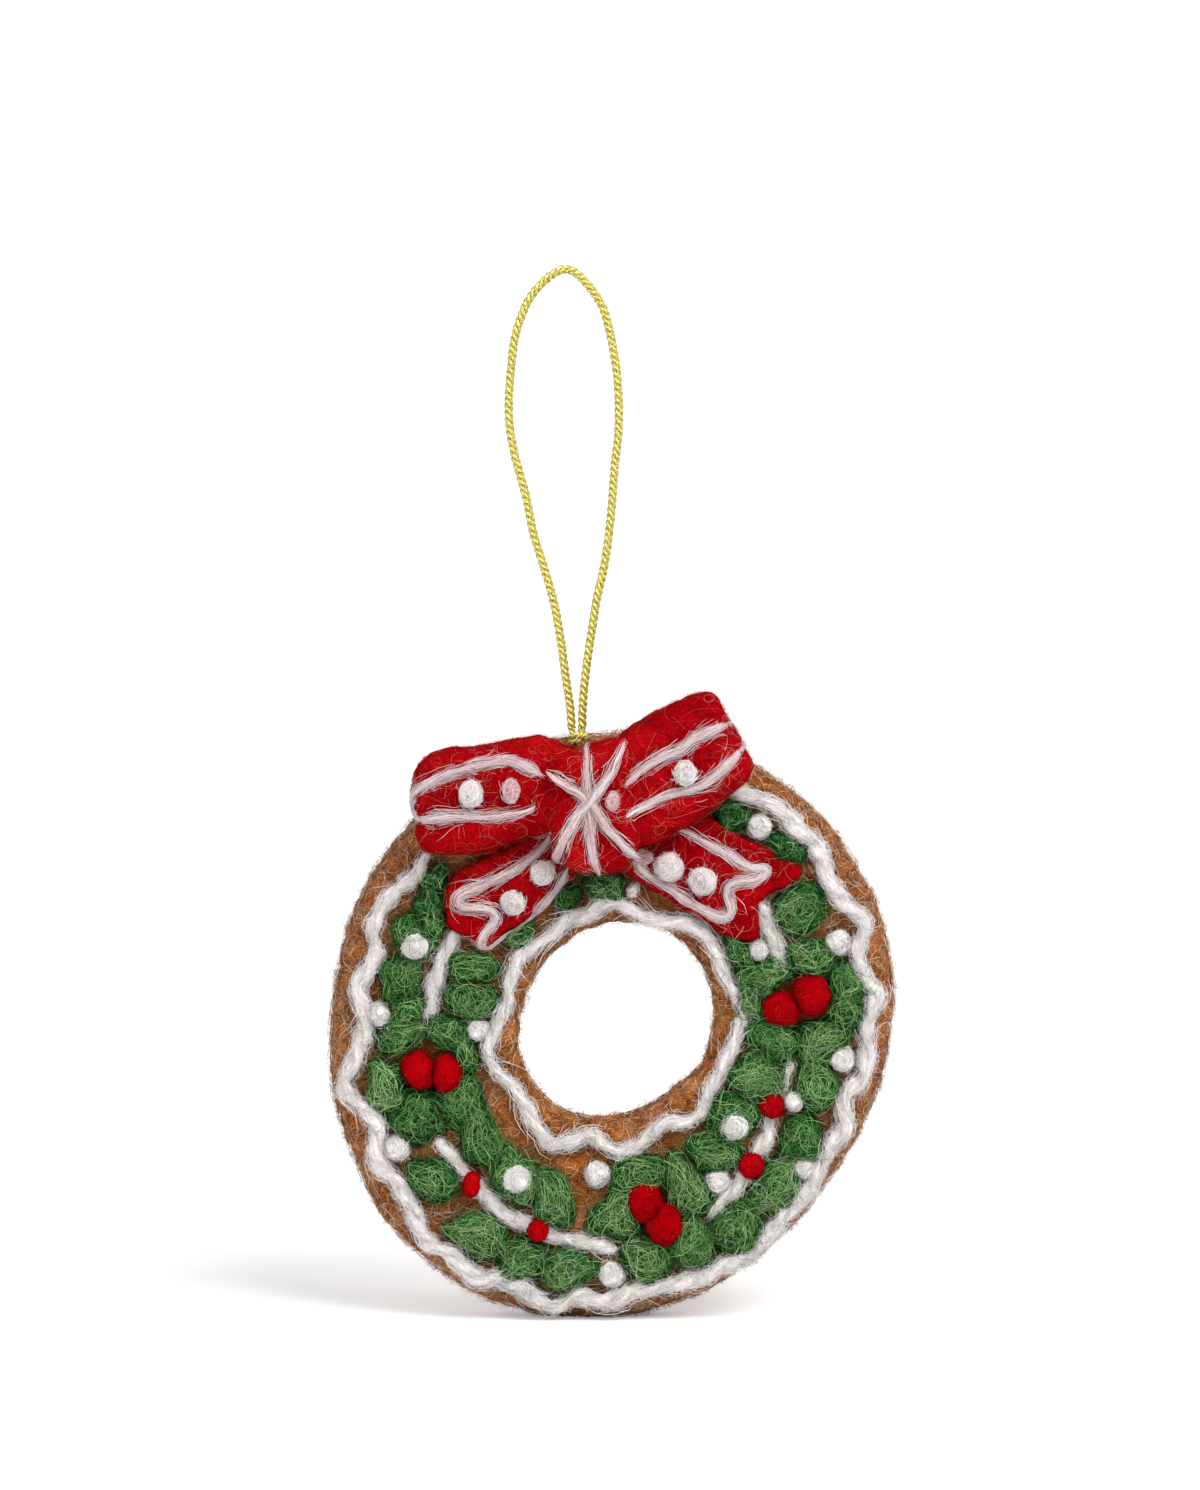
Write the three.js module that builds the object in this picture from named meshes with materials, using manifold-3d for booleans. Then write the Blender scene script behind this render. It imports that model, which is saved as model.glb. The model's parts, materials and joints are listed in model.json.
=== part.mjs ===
// A needle-felted wreath ornament: a brown felt ring iced with white yarn, green felt leaves, red berries,
// white felt pearls and a red bow, hung from a twisted gold cord.
// Millimetres, +Z up. The front faces -Y. The origin is where a hook holds the cord loop.
import * as THREE from "three";
import { mergeVertices } from "three/addons/utils/BufferGeometryUtils.js";
import Module from "manifold-3d";

const wasm = await Module();
wasm.setup();

const degree = Math.PI / 180;
const quarter_turn = Math.PI / 2;
const full_turn = 4 * quarter_turn;

// Ring: a slightly oval felt disc with an off-centre hole
const ring_radius = 43.1;
const ring_oval = 1.77;
const ring_oval_turn = 61.6 * degree;
const ring_lobe = 0.57;
const ring_lobe_turn = 12.2 * degree;
const ring_depth = 9;
const ring_rounding = 3;
const hole_radius = 14.4;
const hole_shift = 1.18;
const hole_shift_turn = 27 * degree;
const hole_oval = 1.07;
const hole_oval_turn = 42 * degree;
const ring_sides = 54;
const rounding_steps = 2;

// What lies on the felt keeps this far off it
const seat = 0.3;

// Yarns
const icing_outer_width = 3.2;
const icing_outer_height = 2.7;
const icing_inner_width = 2.5;
const icing_inner_height = 2.2;
const garland_width = 2.1;
const garland_height = 1.8;
const bow_yarn_width = 1.9;
const bow_yarn_height = 1.5;

// Felt leaves, berries, beads and pearls
const leaf_length = 7.5;
const leaf_width = 6.6;
const leaf_height = 2.4;
const berry_width = 5.6;
const berry_height = 4;
const berry_bed = 1.2;
const bead_width = 3.7;
const bead_height = 2.4;
const bead_lift = 0.9;
const pearl_width = 3.6;
const pearl_height = 2.8;
const pearl_lift = 1.4;
const dot_width = 3.6;
const dot_height = 2.3;

// Bow
const bow_span = 50.5;
const bow_aside = -2.75;
const bow_drop = 8.75;
const bow_rise = ring_radius - bow_drop;
const loop_depth = 8.6;
const centre_depth = 9.8;
const tail_depth = 3;
const felt_rounding = 2.4;
const tail_rounding = 0.9;

// Cord
const cord_diameter = 1.3;
const knot_width = 2.7;
const knot_height = 2.5;
const cord_steps = 46;
const cord_quarter_sides = 2;
const knot_sides = 10;
const knot_bands = 6;

// Centreline of the cord from its left foot over the hook to its right foot, x and z
const cord_route = [
  [1.0, -68.2], [0.8, -65.2], [0.1, -60.5], [-0.6, -55.1], [-1.8, -48.7], [-3.5, -42.9],
  [-4.7, -39.0], [-5.9, -33.1], [-7.4, -27.7], [-8.3, -22.7], [-8.4, -18.8], [-8.0, -13.5],
  [-7.5, -9.6], [-6.6, -6.6], [-5.4, -3.9], [-3.5, -1.5], [-1.5, 0.1], [0.0, 0.65],
  [1.5, 0.2], [3.2, -1.4], [4.6, -3.2], [5.7, -5.1], [6.5, -7.7], [7.2, -11.0],
  [7.8, -14.9], [8.1, -19.9], [8.0, -24.2], [7.5, -28.6], [7.1, -34.0], [6.6, -39.0],
  [5.9, -43.8], [4.8, -48.7], [4.1, -53.1], [3.5, -57.0], [3.0, -60.9], [2.65, -65.2],
  [2.6, -68.2],
];
const knot_x = (cord_route[0][0] + cord_route.at(-1)[0]) / 2;
const knot_z = cord_route[0][1] - seat - knot_height / 2;

// Where the ring's centre hangs, seen from the hook: its rim ends just under the middle of the knot
const hang_drop = ring_radius + seat - knot_z;
const hang_aside = 6.5;
const hang_back = 0.4;

// Places on the ring are [degrees round it, share of the way from the hole's edge to the rim]
const icing_outer_shares = [
  [136, 0.85], [142, 0.83], [149, 0.88], [157, 0.89], [163, 0.83], [171, 0.88], [177, 0.83],
  [182, 0.83], [187, 0.87], [193, 0.95], [199, 0.86], [203, 0.82], [210, 0.89], [217, 0.85],
  [224, 0.87], [230, 0.92], [236, 0.89], [242, 0.92], [249, 0.87], [254, 0.9], [259, 0.94],
  [264, 0.88], [269, 0.91], [276, 0.88], [283, 0.9], [290, 0.93], [296, 0.93], [302, 0.96],
  [307, 0.95], [313, 0.92], [320, 0.93], [326, 0.9], [332, 0.89], [337, 0.91], [343, 0.84],
  [349, 0.9], [355, 0.89], [1, 0.87], [7, 0.91], [12, 0.84], [17, 0.84], [22, 0.92], [28, 0.85],
  [34, 0.84], [40, 0.89], [46, 0.88], [52, 0.9], [57, 0.88],
];
const icing_inner_shares = [
  [0, 0.16], [8, 0.17], [17, 0.12], [26, 0.1], [37, 0.12], [50, 0.12], [60, 0.07], [69, 0.05],
  [79, 0.09], [90, 0.14], [100, 0.1], [110, 0.12], [122, 0.1], [133, 0.12], [143, 0.14],
  [154, 0.12], [164, 0.09], [175, 0.1], [184, 0.14], [193, 0.17], [202, 0.14], [213, 0.09],
  [224, 0.1], [235, 0.14], [244, 0.18], [253, 0.13], [260, 0.09], [268, 0.13], [275, 0.18],
  [284, 0.17], [293, 0.13], [301, 0.12], [309, 0.18], [317, 0.2], [327, 0.15], [338, 0.14],
  [349, 0.14],
];
const garland_shares = {
  garland_yarn_upper_left: [[148, 0.49], [157, 0.49], [168, 0.49], [178, 0.49]],
  garland_yarn_lower_left: [
    [215, 0.56], [219, 0.55], [225, 0.55], [234, 0.56], [243, 0.59], [249, 0.58],
    [256, 0.6], [265, 0.62], [271, 0.65],
  ],
  garland_yarn_lower_right: [
    [347, 0.49], [339, 0.48], [332, 0.5], [326, 0.56], [320, 0.58], [314, 0.61],
    [308, 0.63], [300, 0.66],
  ],
  garland_yarn_upper_right: [[41, 0.46], [37, 0.45], [28, 0.42], [20, 0.43]],
};

// Leaves add their length and width, as shares of the named ones, and the turn of their long axis
const leaf_shares = {
  leaves_left: [
    [139, 0.74, 0.64, 0.55, 50], [145, 0.7, 0.72, 0.64, 80], [149, 0.63, 0.6, 0.6, 90],
    [155, 0.68, 0.92, 0.95, 110], [166, 0.67, 1.0, 1.05, 120], [175, 0.6, 0.8, 0.72, 20],
    [156, 0.32, 1.08, 0.75, 5], [169, 0.27, 1.04, 1.04, 15],
    [182, 0.62, 1.04, 0.9, 20], [182, 0.38, 1.1, 0.82, 160], [191, 0.29, 0.85, 0.55, 100],
    [195, 0.73, 1.04, 1.0, 100], [205, 0.6, 1.16, 1.24, 75], [206, 0.37, 1.26, 1.2, 70],
    [221, 0.37, 1.42, 0.9, 95], [238, 0.4, 1.34, 0.98, 100], [252, 0.42, 1.36, 0.92, 105],
  ],
  leaf_lower_left: [[221, 0.69, 1.16, 1.05, 170]],
  leaves_bottom_left: [[238, 0.74, 1.3, 1.0, 165], [250, 0.75, 1.24, 1.02, 15], [261, 0.75, 1.16, 0.96, 10]],
  leaves_bottom: [
    [273, 0.48, 1.24, 1.12, 85], [282, 0.31, 1.2, 1.0, 5], [296, 0.47, 1.24, 1.12, 110],
    [279, 0.73, 1.16, 1.14, 150], [291, 0.73, 1.24, 1.1, 75],
  ],
  leaves_lower_right: [[303, 0.81, 1.36, 1.16, 65], [317, 0.78, 1.46, 1.12, 60], [330, 0.73, 1.16, 1.08, 85]],
  leaves_right: [
    [310, 0.4, 1.16, 0.98, 165], [325, 0.35, 1.16, 1.12, 20], [341, 0.34, 1.2, 1.1, 170],
    [345, 0.66, 1.2, 1.02, 95], [18, 0.32, 1.12, 0.91, 20], [19, 0.57, 1.08, 0.9, 165],
    [11, 0.21, 1.0, 0.73, 100], [10, 0.75, 1.04, 0.88, 100], [4, 0.74, 0.9, 0.84, 80],
    [356, 0.36, 1.12, 1.04, 0], [356, 0.63, 1.04, 1.12, 0], [30, 0.22, 0.72, 0.62, 120],
  ],
  leaf_upper_right: [[32, 0.62, 1.24, 1.09, 160]],
  leaf_beside_bow: [[45, 0.77, 0.88, 0.68, 145]],
};
// Berries add their length and width, as shares of the named width, and the turn of their long axis
const berry_shares = {
  berries_left: [[193, 0.54, 1.08, 0.76, 95], [196, 0.4, 1.12, 0.76, 85]],
  berries_right: [[6, 0.38, 0.97, 0.94, 90], [9, 0.55, 1.08, 0.97, 160]],
  berries_bottom: [[282, 0.45, 1.0, 1.0, 0], [286, 0.59, 1.02, 1.02, 0]],
};
// Beads and pearls add their length and width as shares of the named width
const bead_shares = [
  [229, 0.56, 1.05, 0.75], [251, 0.59, 0.88, 0.84], [334, 0.49, 0.98, 0.98], [316, 0.6, 1.02, 1.05],
];
const pearl_shares = [
  [177, 0.75, 1.0], [181, 0.22, 0.96], [210, 0.77, 1.08], [266, 0.28, 1.04], [271, 0.78, 1.08],
  [305, 0.54, 1.04], [338, 0.59, 0.83], [324, 0.83, 1.0], [352, 0.76, 1.08], [20, 0.75, 1.04],
  [53, 0.76, 1.04],
];
const leaf_pearl_shares = [[157, 0.65, 0.96], [239, 0.4, 1.04], [322, 0.38, 1.0]];

// Bow outlines and yarns are shares of the bow's span, from its middle. So are the places of the leaves and
// of the pearl that peep out beside it.
const bow_leaf_shares = {
  leaf_above_tail: [[0.419, -0.049, 0.8, 0.77, 120]],
  leaf_under_bow: [[0.04, -0.256, 0.92, 0.68, 160]],
};
const bow_pearl_shares = [[0.502, -0.453, 0.88]];
const loop_left_shares = [
  [-0.089, 0.175], [-0.223, 0.176], [-0.342, 0.16], [-0.47, 0.137], [-0.509, 0.104], [-0.521, 0.03],
  [-0.518, -0.068], [-0.503, -0.128], [-0.47, -0.152], [-0.399, -0.155], [-0.289, -0.143],
  [-0.193, -0.11], [-0.101, -0.086],
];
const loop_right_shares = [
  [0.083, 0.18], [0.17, 0.241], [0.253, 0.289], [0.312, 0.312], [0.366, 0.315], [0.387, 0.283],
  [0.414, 0.223], [0.449, 0.164], [0.482, 0.104], [0.464, 0.06], [0.408, 0.021], [0.333, -0.042],
  [0.244, -0.089], [0.149, -0.14],
];
const centre_shares = [
  [-0.101, 0.164], [-0.065, 0.16], [-0.039, 0.152], [-0.009, 0.16], [0.03, 0.17], [0.095, 0.179],
  [0.137, 0.128], [0.149, 0.015], [0.149, -0.089], [0.119, -0.188], [0.065, -0.205], [0, -0.208],
  [-0.06, -0.196], [-0.101, -0.128], [-0.125, -0.045], [-0.134, 0.074],
];
const tail_left_shares = [
  [-0.045, -0.068], [-0.164, -0.098], [-0.268, -0.152], [-0.378, -0.208], [-0.423, -0.265],
  [-0.432, -0.327], [-0.417, -0.39], [-0.357, -0.405], [-0.321, -0.44], [-0.268, -0.405],
  [-0.173, -0.345], [-0.083, -0.256], [-0.03, -0.188],
];
const tail_right_shares = [
  [0.06, -0.164], [0.179, -0.06], [0.315, -0.039], [0.432, -0.104], [0.536, -0.158], [0.625, -0.214],
  [0.577, -0.256], [0.497, -0.304], [0.506, -0.378], [0.494, -0.423], [0.44, -0.42], [0.333, -0.354],
  [0.193, -0.274], [0.113, -0.217],
];
const centre_spine_shares = [[0.01, -0.07], [0.01, 0.03]];
const loop_left_spine_shares = [[-0.36, 0.01], [-0.15, 0.04]];
const loop_right_spine_shares = [[0.19, 0.05], [0.32, 0.13]];
const tail_left_spine_shares = [[-0.34, -0.33], [-0.1, -0.17]];
const tail_right_spine_shares = [[0.16, -0.17], [0.44, -0.26]];
const loop_yarn_shares = {
  bow_yarn_left_loop: [
    [-0.157, -0.009], [-0.182, -0.025], [-0.239, -0.035], [-0.288, -0.045], [-0.337, -0.042],
    [-0.402, -0.042], [-0.468, -0.049], [-0.497, -0.042], [-0.505, -0.018], [-0.504, 0.008],
    [-0.495, 0.038], [-0.455, 0.065], [-0.402, 0.09], [-0.329, 0.11], [-0.239, 0.125],
    [-0.198, 0.109], [-0.158, 0.088],
  ],
  bow_yarn_right_upper: [
    [0.174, 0.106], [0.223, 0.136], [0.272, 0.153], [0.304, 0.184], [0.341, 0.204], [0.386, 0.221],
    [0.408, 0.228],
  ],
  bow_yarn_right_lower: [
    [0.169, -0.008], [0.218, 0.019], [0.276, 0.033], [0.325, 0.047], [0.366, 0.074], [0.406, 0.11],
    [0.437, 0.143], [0.45, 0.158],
  ],
};
const tail_yarn_shares = {
  bow_yarn_left_tail: [
    [-0.15, -0.15], [-0.174, -0.174], [-0.215, -0.2], [-0.28, -0.237], [-0.337, -0.265],
    [-0.388, -0.287], [-0.385, -0.314], [-0.329, -0.323], [-0.286, -0.332], [-0.28, -0.363],
    [-0.304, -0.392], [-0.314, -0.415], [-0.285, -0.408], [-0.215, -0.362], [-0.157, -0.31],
    [-0.116, -0.268], [-0.095, -0.24],
  ],
  bow_yarn_right_tail: [
    [0.268, -0.09], [0.3, -0.102], [0.349, -0.131], [0.406, -0.159], [0.447, -0.188], [0.488, -0.205],
    [0.525, -0.205], [0.49, -0.232], [0.433, -0.244], [0.408, -0.265], [0.41, -0.292], [0.422, -0.323],
    [0.408, -0.35], [0.374, -0.347], [0.317, -0.316], [0.251, -0.272], [0.194, -0.237], [0.16, -0.212],
  ],
};
const stroke_top_shares = [
  [0.095, 0.14], [0.062, 0.085], [0.006, 0.021], [-0.045, -0.045], [-0.08, -0.11], [-0.085, -0.165],
];
const stroke_upright_shares = [
  [-0.009, 0.135], [-0.006, 0.09], [-0.006, 0.021], [0, -0.06], [0.009, -0.125], [0.018, -0.18],
];
const stroke_cross_shares = [
  [-0.11, 0.066], [-0.06, 0.038], [-0.006, 0.006], [0.039, -0.051], [0.095, -0.115], [0.115, -0.145],
];
const loop_dot_shares = [[-0.351, 0.023, 1.1, 0.95], [-0.233, 0.033, 0.98, 0.72], [0.281, 0.088, 0.96, 0.86]];
const centre_dot_shares = [[0.066, 0.03, 0.72, 0.55]];
const tail_dot_shares = [
  [-0.155, -0.222, 0.95, 0.95], [-0.228, -0.298, 1.0, 0.97], [0.235, -0.192, 1.15, 1.15],
  [0.333, -0.241, 1.12, 1.12],
];

// Domes run from the flat back to the top, as shares of reach and of height
const leaf_dome_shares = [[0.92, 0], [1, 0.38], [0.66, 0.88]];
const ball_dome_shares = [[0.74, 0], [1, 0.42], [0.64, 0.88]];
const leaf_sides = 8;
const ball_sides = 8;
const leaf_point_share = 0.16;
const leaf_form = { shares: leaf_dome_shares, sides: leaf_sides, point_share: leaf_point_share };
const ball_form = { shares: ball_dome_shares, sides: ball_sides, point_share: 0 };
const yarn_sides = 6;
const yarn_step = 2.9;
const yarn_end_shares = [0.35, 0.8];
const drawn_share = 0.7;
const crumb_share = 0.01;

const brown = new THREE.MeshStandardMaterial({ color: 0x9a5a2c, roughness: 0.95 });
const white = new THREE.MeshStandardMaterial({ color: 0xece8e6, roughness: 0.95 });
const green = new THREE.MeshStandardMaterial({ color: 0x3a7a46, roughness: 0.95 });
const red = new THREE.MeshStandardMaterial({ color: 0xc00a18, roughness: 0.95 });
const gold = new THREE.MeshStandardMaterial({ color: 0xc9bb4a, roughness: 0.4, metalness: 0.6 });

function rim(turn) {
  return (
    ring_radius +
    ring_oval * Math.cos(2 * (turn - ring_oval_turn)) +
    ring_lobe * Math.cos(3 * (turn - ring_lobe_turn))
  );
}

function hole(turn) {
  return (
    hole_radius +
    hole_shift * Math.cos(turn - hole_shift_turn) +
    hole_oval * Math.cos(2 * (turn - hole_oval_turn))
  );
}

function on_ring([degrees, share], y) {
  const turn = degrees * degree;
  const reach = hole(turn) + share * (rim(turn) - hole(turn));
  return new THREE.Vector3(reach * Math.cos(turn), y, reach * Math.sin(turn));
}

function on_bow([across, up], y) {
  return new THREE.Vector3(bow_aside + across * bow_span, y, bow_rise + up * bow_span);
}

// Closed skin over rings of points. Its ends are looped together, fanned from a middle point each, the
// last one lifted to a top if there is one, or filled as outlines.
function skin(rings, ends, top) {
  const sides = rings[0].length;
  const points = rings.flat();
  const faces = [];
  const spans = ends === "looped" ? rings.length : rings.length - 1;
  for (let r = 0; r < spans; r++) {
    const here = r * sides;
    const next = ((r + 1) % rings.length) * sides;
    for (let s = 0; s < sides; s++) {
      const after = (s + 1) % sides;
      faces.push(here + s, here + after, next + after, here + s, next + after, next + s);
    }
  }
  const caps = ends === "looped" ? [] : [0, rings.length - 1];
  for (const r of caps) {
    const cap = ends === "fanned" ? fan(rings[r], points) : filling(rings[r]);
    if (r && top !== undefined) points.at(-1).y = top;
    for (const [a, b, c] of cap) {
      const [first, second] = r ? [a, b] : [b, a];
      faces.push(...[first, second, c].map((corner) => (corner < sides ? corner + r * sides : corner)));
    }
  }
  return new THREE.BufferGeometry().setFromPoints(points).setIndex(faces);
}

// Faces from each side of a ring to a new point in its middle
function fan(ring, points) {
  const middle = new THREE.Vector3();
  ring.forEach((point) => middle.addScaledVector(point, 1 / ring.length));
  points.push(middle);
  return ring.map((_, side) => [side, (side + 1) % ring.length, points.length - 1]);
}

// Faces that fill a ring seen along Y, each turned the way that the ring turns
function filling(ring) {
  const flat = ring.map((point) => new THREE.Vector2(point.x, point.z));
  const clockwise = THREE.ShapeUtils.isClockWise(flat);
  return THREE.ShapeUtils.triangulateShape(flat, []).map((face) => {
    const same = THREE.ShapeUtils.isClockWise(face.map((corner) => flat[corner])) === clockwise;
    return same ? face : face.toReversed();
  });
}

// The geometry as a solid whose faces point out
function solid(geometry) {
  geometry.deleteAttribute("normal");
  geometry.deleteAttribute("uv");
  const merged = mergeVertices(geometry);
  const build = (faces) =>
    new wasm.Manifold(
      new wasm.Mesh({
        numProp: 3,
        vertProperties: merged.attributes.position.array,
        triVerts: new Uint32Array(faces),
      }),
    );
  const made = build(merged.index.array);
  return made.volume() < 0 ? build(Array.from(merged.index.array).reverse()) : made;
}

function join(solids) {
  return solids.reduce((whole, next) => whole.add(next));
}

function cut(body, tools) {
  return tools.reduce((left, tool) => left.subtract(tool), body);
}

// The body without the crumbs that cuts leave at its edges
function without_crumbs(body) {
  const least = crumb_share * body.volume();
  return join(body.decompose().filter((piece) => piece.volume() > least));
}

function add_mesh(group, name, body, material) {
  const cells = without_crumbs(body).getMesh();
  const geometry = new THREE.BufferGeometry()
    .setAttribute("position", new THREE.BufferAttribute(cells.vertProperties, 3))
    .setIndex(new THREE.BufferAttribute(cells.triVerts, 1));
  const mesh = new THREE.Mesh(geometry, material);
  mesh.name = name;
  geometry.computeVertexNormals();
  group.add(mesh);
}

// A domed felt piece with a flat back at y = middle.y, rising towards the front
function dome(middle, length, width, degrees, height, form, grow) {
  const turn = degrees * degree;
  const rings = form.shares.map(([reach, rise]) => {
    const y = middle.y + grow - rise * (height + 2 * grow);
    return Array.from({ length: form.sides }, (_, side) => {
      const angle = (side / form.sides) * full_turn;
      const along = reach * (length / 2 + grow) * Math.cos(angle);
      const across = reach * (width / 2 + grow) * Math.sin(angle) * (1 - form.point_share * Math.cos(angle));
      return new THREE.Vector3(
        middle.x + along * Math.cos(turn) - across * Math.sin(turn),
        y,
        middle.z + along * Math.sin(turn) + across * Math.cos(turn),
      );
    });
  });
  return solid(skin(rings, "fanned", middle.y - height - grow));
}

// A yarn of oval section along points, its ends rounded
function yarn(points, width, height, grow, looped) {
  const curve = new THREE.CatmullRomCurve3(points, looped, "centripetal");
  const steps = Math.round(curve.getLength() / yarn_step);
  const ring_at = (share, scale, ahead) => {
    const middle = curve.getPointAt(share);
    const along = curve.getTangentAt(share);
    const aside = new THREE.Vector3(-along.z, 0, along.x).normalize();
    middle.addScaledVector(along, ahead);
    return Array.from({ length: yarn_sides }, (_, side) => {
      const angle = (side / yarn_sides) * full_turn;
      const point = middle.clone().addScaledVector(aside, scale * (width / 2 + grow) * Math.cos(angle));
      point.y += scale * (height / 2 + grow) * Math.sin(angle);
      return point;
    });
  };
  const rings = [];
  const last = looped ? steps - 1 : steps;
  for (let step = 0; step <= last; step++) rings.push(ring_at(step / steps, 1, 0));
  if (!looped) {
    const [ahead_share, scale_share] = yarn_end_shares;
    const ahead = ahead_share * width + grow;
    rings.unshift(ring_at(0, scale_share, -ahead));
    rings.push(ring_at(1, scale_share, ahead));
  }
  return solid(skin(rings, looped ? "looped" : "fanned"));
}

// Thick felt with a rounded edge, cut to an outline on the bow, its back seated on the ring. The rounding
// draws the outline in towards a spine that runs along the piece.
function felt({ shares, spine, depth, rounding }, grow) {
  const corners = shares.map((share) => on_bow(share, 0));
  const outline = new THREE.CatmullRomCurve3(corners, true, "centripetal").getPoints(2 * shares.length);
  outline.pop();
  const line = new THREE.Line3(on_bow(spine[0], 0), on_bow(spine[1], 0));
  const back = grow - seat;
  const front = -seat - depth - grow;
  const ring_at = (angle, face, forward) =>
    outline.map((corner) => {
      const inward = line.closestPointToPoint(corner, true, new THREE.Vector3()).sub(corner);
      const drawn = Math.min(rounding * (1 - Math.sin(angle)), drawn_share * inward.length());
      const point = corner.clone().addScaledVector(inward.normalize(), drawn - grow);
      point.y = face + forward * rounding * (1 - Math.cos(angle));
      return point;
    });
  const angles = Array.from({ length: rounding_steps + 1 }, (_, step) => (step / rounding_steps) * quarter_turn);
  const rings = [
    ...angles.map((angle) => ring_at(angle, back, -1)),
    ...angles.toReversed().map((angle) => ring_at(angle, front, 1)),
  ];
  return solid(skin(rings, "outlined"));
}

function ring() {
  const rings = Array.from({ length: ring_sides }, (_, side) => {
    const turn = (side / ring_sides) * full_turn;
    const section = [];
    const corners = [
      [rim(turn) - ring_rounding, ring_rounding],
      [rim(turn) - ring_rounding, ring_depth - ring_rounding],
      [hole(turn) + ring_rounding, ring_depth - ring_rounding],
      [hole(turn) + ring_rounding, ring_rounding],
    ];
    for (const [corner, [reach, y]] of corners.entries()) {
      for (let step = 0; step <= rounding_steps; step++) {
        const angle = (corner - 1 + step / rounding_steps) * quarter_turn;
        const out = reach + ring_rounding * Math.cos(angle);
        section.push(
          new THREE.Vector3(out * Math.cos(turn), y + ring_rounding * Math.sin(angle), out * Math.sin(turn)),
        );
      }
    }
    return section;
  });
  return solid(skin(rings, "looped"));
}

// Every yarn on the ring's face, by name
function ring_yarns(grow) {
  const yarns = {};
  const lay = (shares, width, height, looped) =>
    yarn(shares.map((share) => on_ring(share, -seat - height / 2)), width, height, grow, looped);
  yarns.icing_yarn_outer = lay(icing_outer_shares, icing_outer_width, icing_outer_height, false);
  yarns.icing_yarn_inner = lay(icing_inner_shares, icing_inner_width, icing_inner_height, true);
  for (const [name, shares] of Object.entries(garland_shares)) {
    yarns[name] = lay(shares, garland_width, garland_height, false);
  }
  return yarns;
}

function leaf(middle, [length, width, turn], grow) {
  return dome(middle, length * leaf_length, width * leaf_width, turn, leaf_height, leaf_form, grow);
}

// Every leaf's middle and its shares, by the name of its group
function leaf_groups() {
  const placed = (groups, place) =>
    Object.entries(groups).map(([name, shares]) => [
      name,
      shares.map(([first, second, ...sizes]) => [place([first, second], -seat), sizes]),
    ]);
  return [...placed(leaf_shares, on_ring), ...placed(bow_leaf_shares, on_bow)];
}

function berry(share, grow) {
  const [degrees, reach, length, width, turn] = share;
  const middle = on_ring([degrees, reach], -2 * seat - berry_bed);
  return dome(middle, length * berry_width, width * berry_width, turn, berry_height, ball_form, grow);
}

function bead(share, grow) {
  const [degrees, reach, length, width] = share;
  const middle = on_ring([degrees, reach], -seat - bead_lift);
  return dome(middle, width * bead_width, length * bead_width, 0, bead_height, ball_form, grow);
}

function pearl(middle, size, grow) {
  const width = size * pearl_width;
  return dome(middle, width, width, 0, pearl_height, ball_form, grow);
}

function dot(share, depth, grow) {
  const [across, up, length, width] = share;
  const middle = on_bow([across, up], -2 * seat - depth);
  return dome(middle, width * dot_width, length * dot_width, 0, dot_height, ball_form, grow);
}

// Yarn lying on bow felt of a depth
function bow_yarn(shares, depth, lift, grow) {
  const y = -2 * seat - depth - bow_yarn_height / 2 - lift;
  return yarn(shares.map((share) => on_bow(share, y)), bow_yarn_width, bow_yarn_height, grow, false);
}

// Every yarn on the bow, by name
function bow_yarns(grow) {
  const yarns = {};
  for (const [table, depth] of [[loop_yarn_shares, loop_depth], [tail_yarn_shares, tail_depth]]) {
    for (const [name, shares] of Object.entries(table)) yarns[name] = bow_yarn(shares, depth, 0, grow);
  }
  yarns.bow_yarn_centre = join([
    bow_yarn(stroke_cross_shares, centre_depth, 0, grow),
    bow_yarn(stroke_upright_shares, centre_depth, 0, grow),
    bow_yarn(stroke_top_shares, centre_depth, bow_yarn_height / 2, grow),
  ]);
  return yarns;
}

function bow_felts(grow) {
  const loops = { depth: loop_depth, rounding: felt_rounding };
  const tails = { depth: tail_depth, rounding: tail_rounding };
  const pieces = {
    bow_centre: { shares: centre_shares, spine: centre_spine_shares, ...loops, depth: centre_depth },
    bow_loop_left: { shares: loop_left_shares, spine: loop_left_spine_shares, ...loops },
    bow_loop_right: { shares: loop_right_shares, spine: loop_right_spine_shares, ...loops },
    bow_tail_left: { shares: tail_left_shares, spine: tail_left_spine_shares, ...tails },
    bow_tail_right: { shares: tail_right_shares, spine: tail_right_spine_shares, ...tails },
  };
  return Object.fromEntries(Object.entries(pieces).map(([name, piece]) => [name, felt(piece, grow)]));
}

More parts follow.
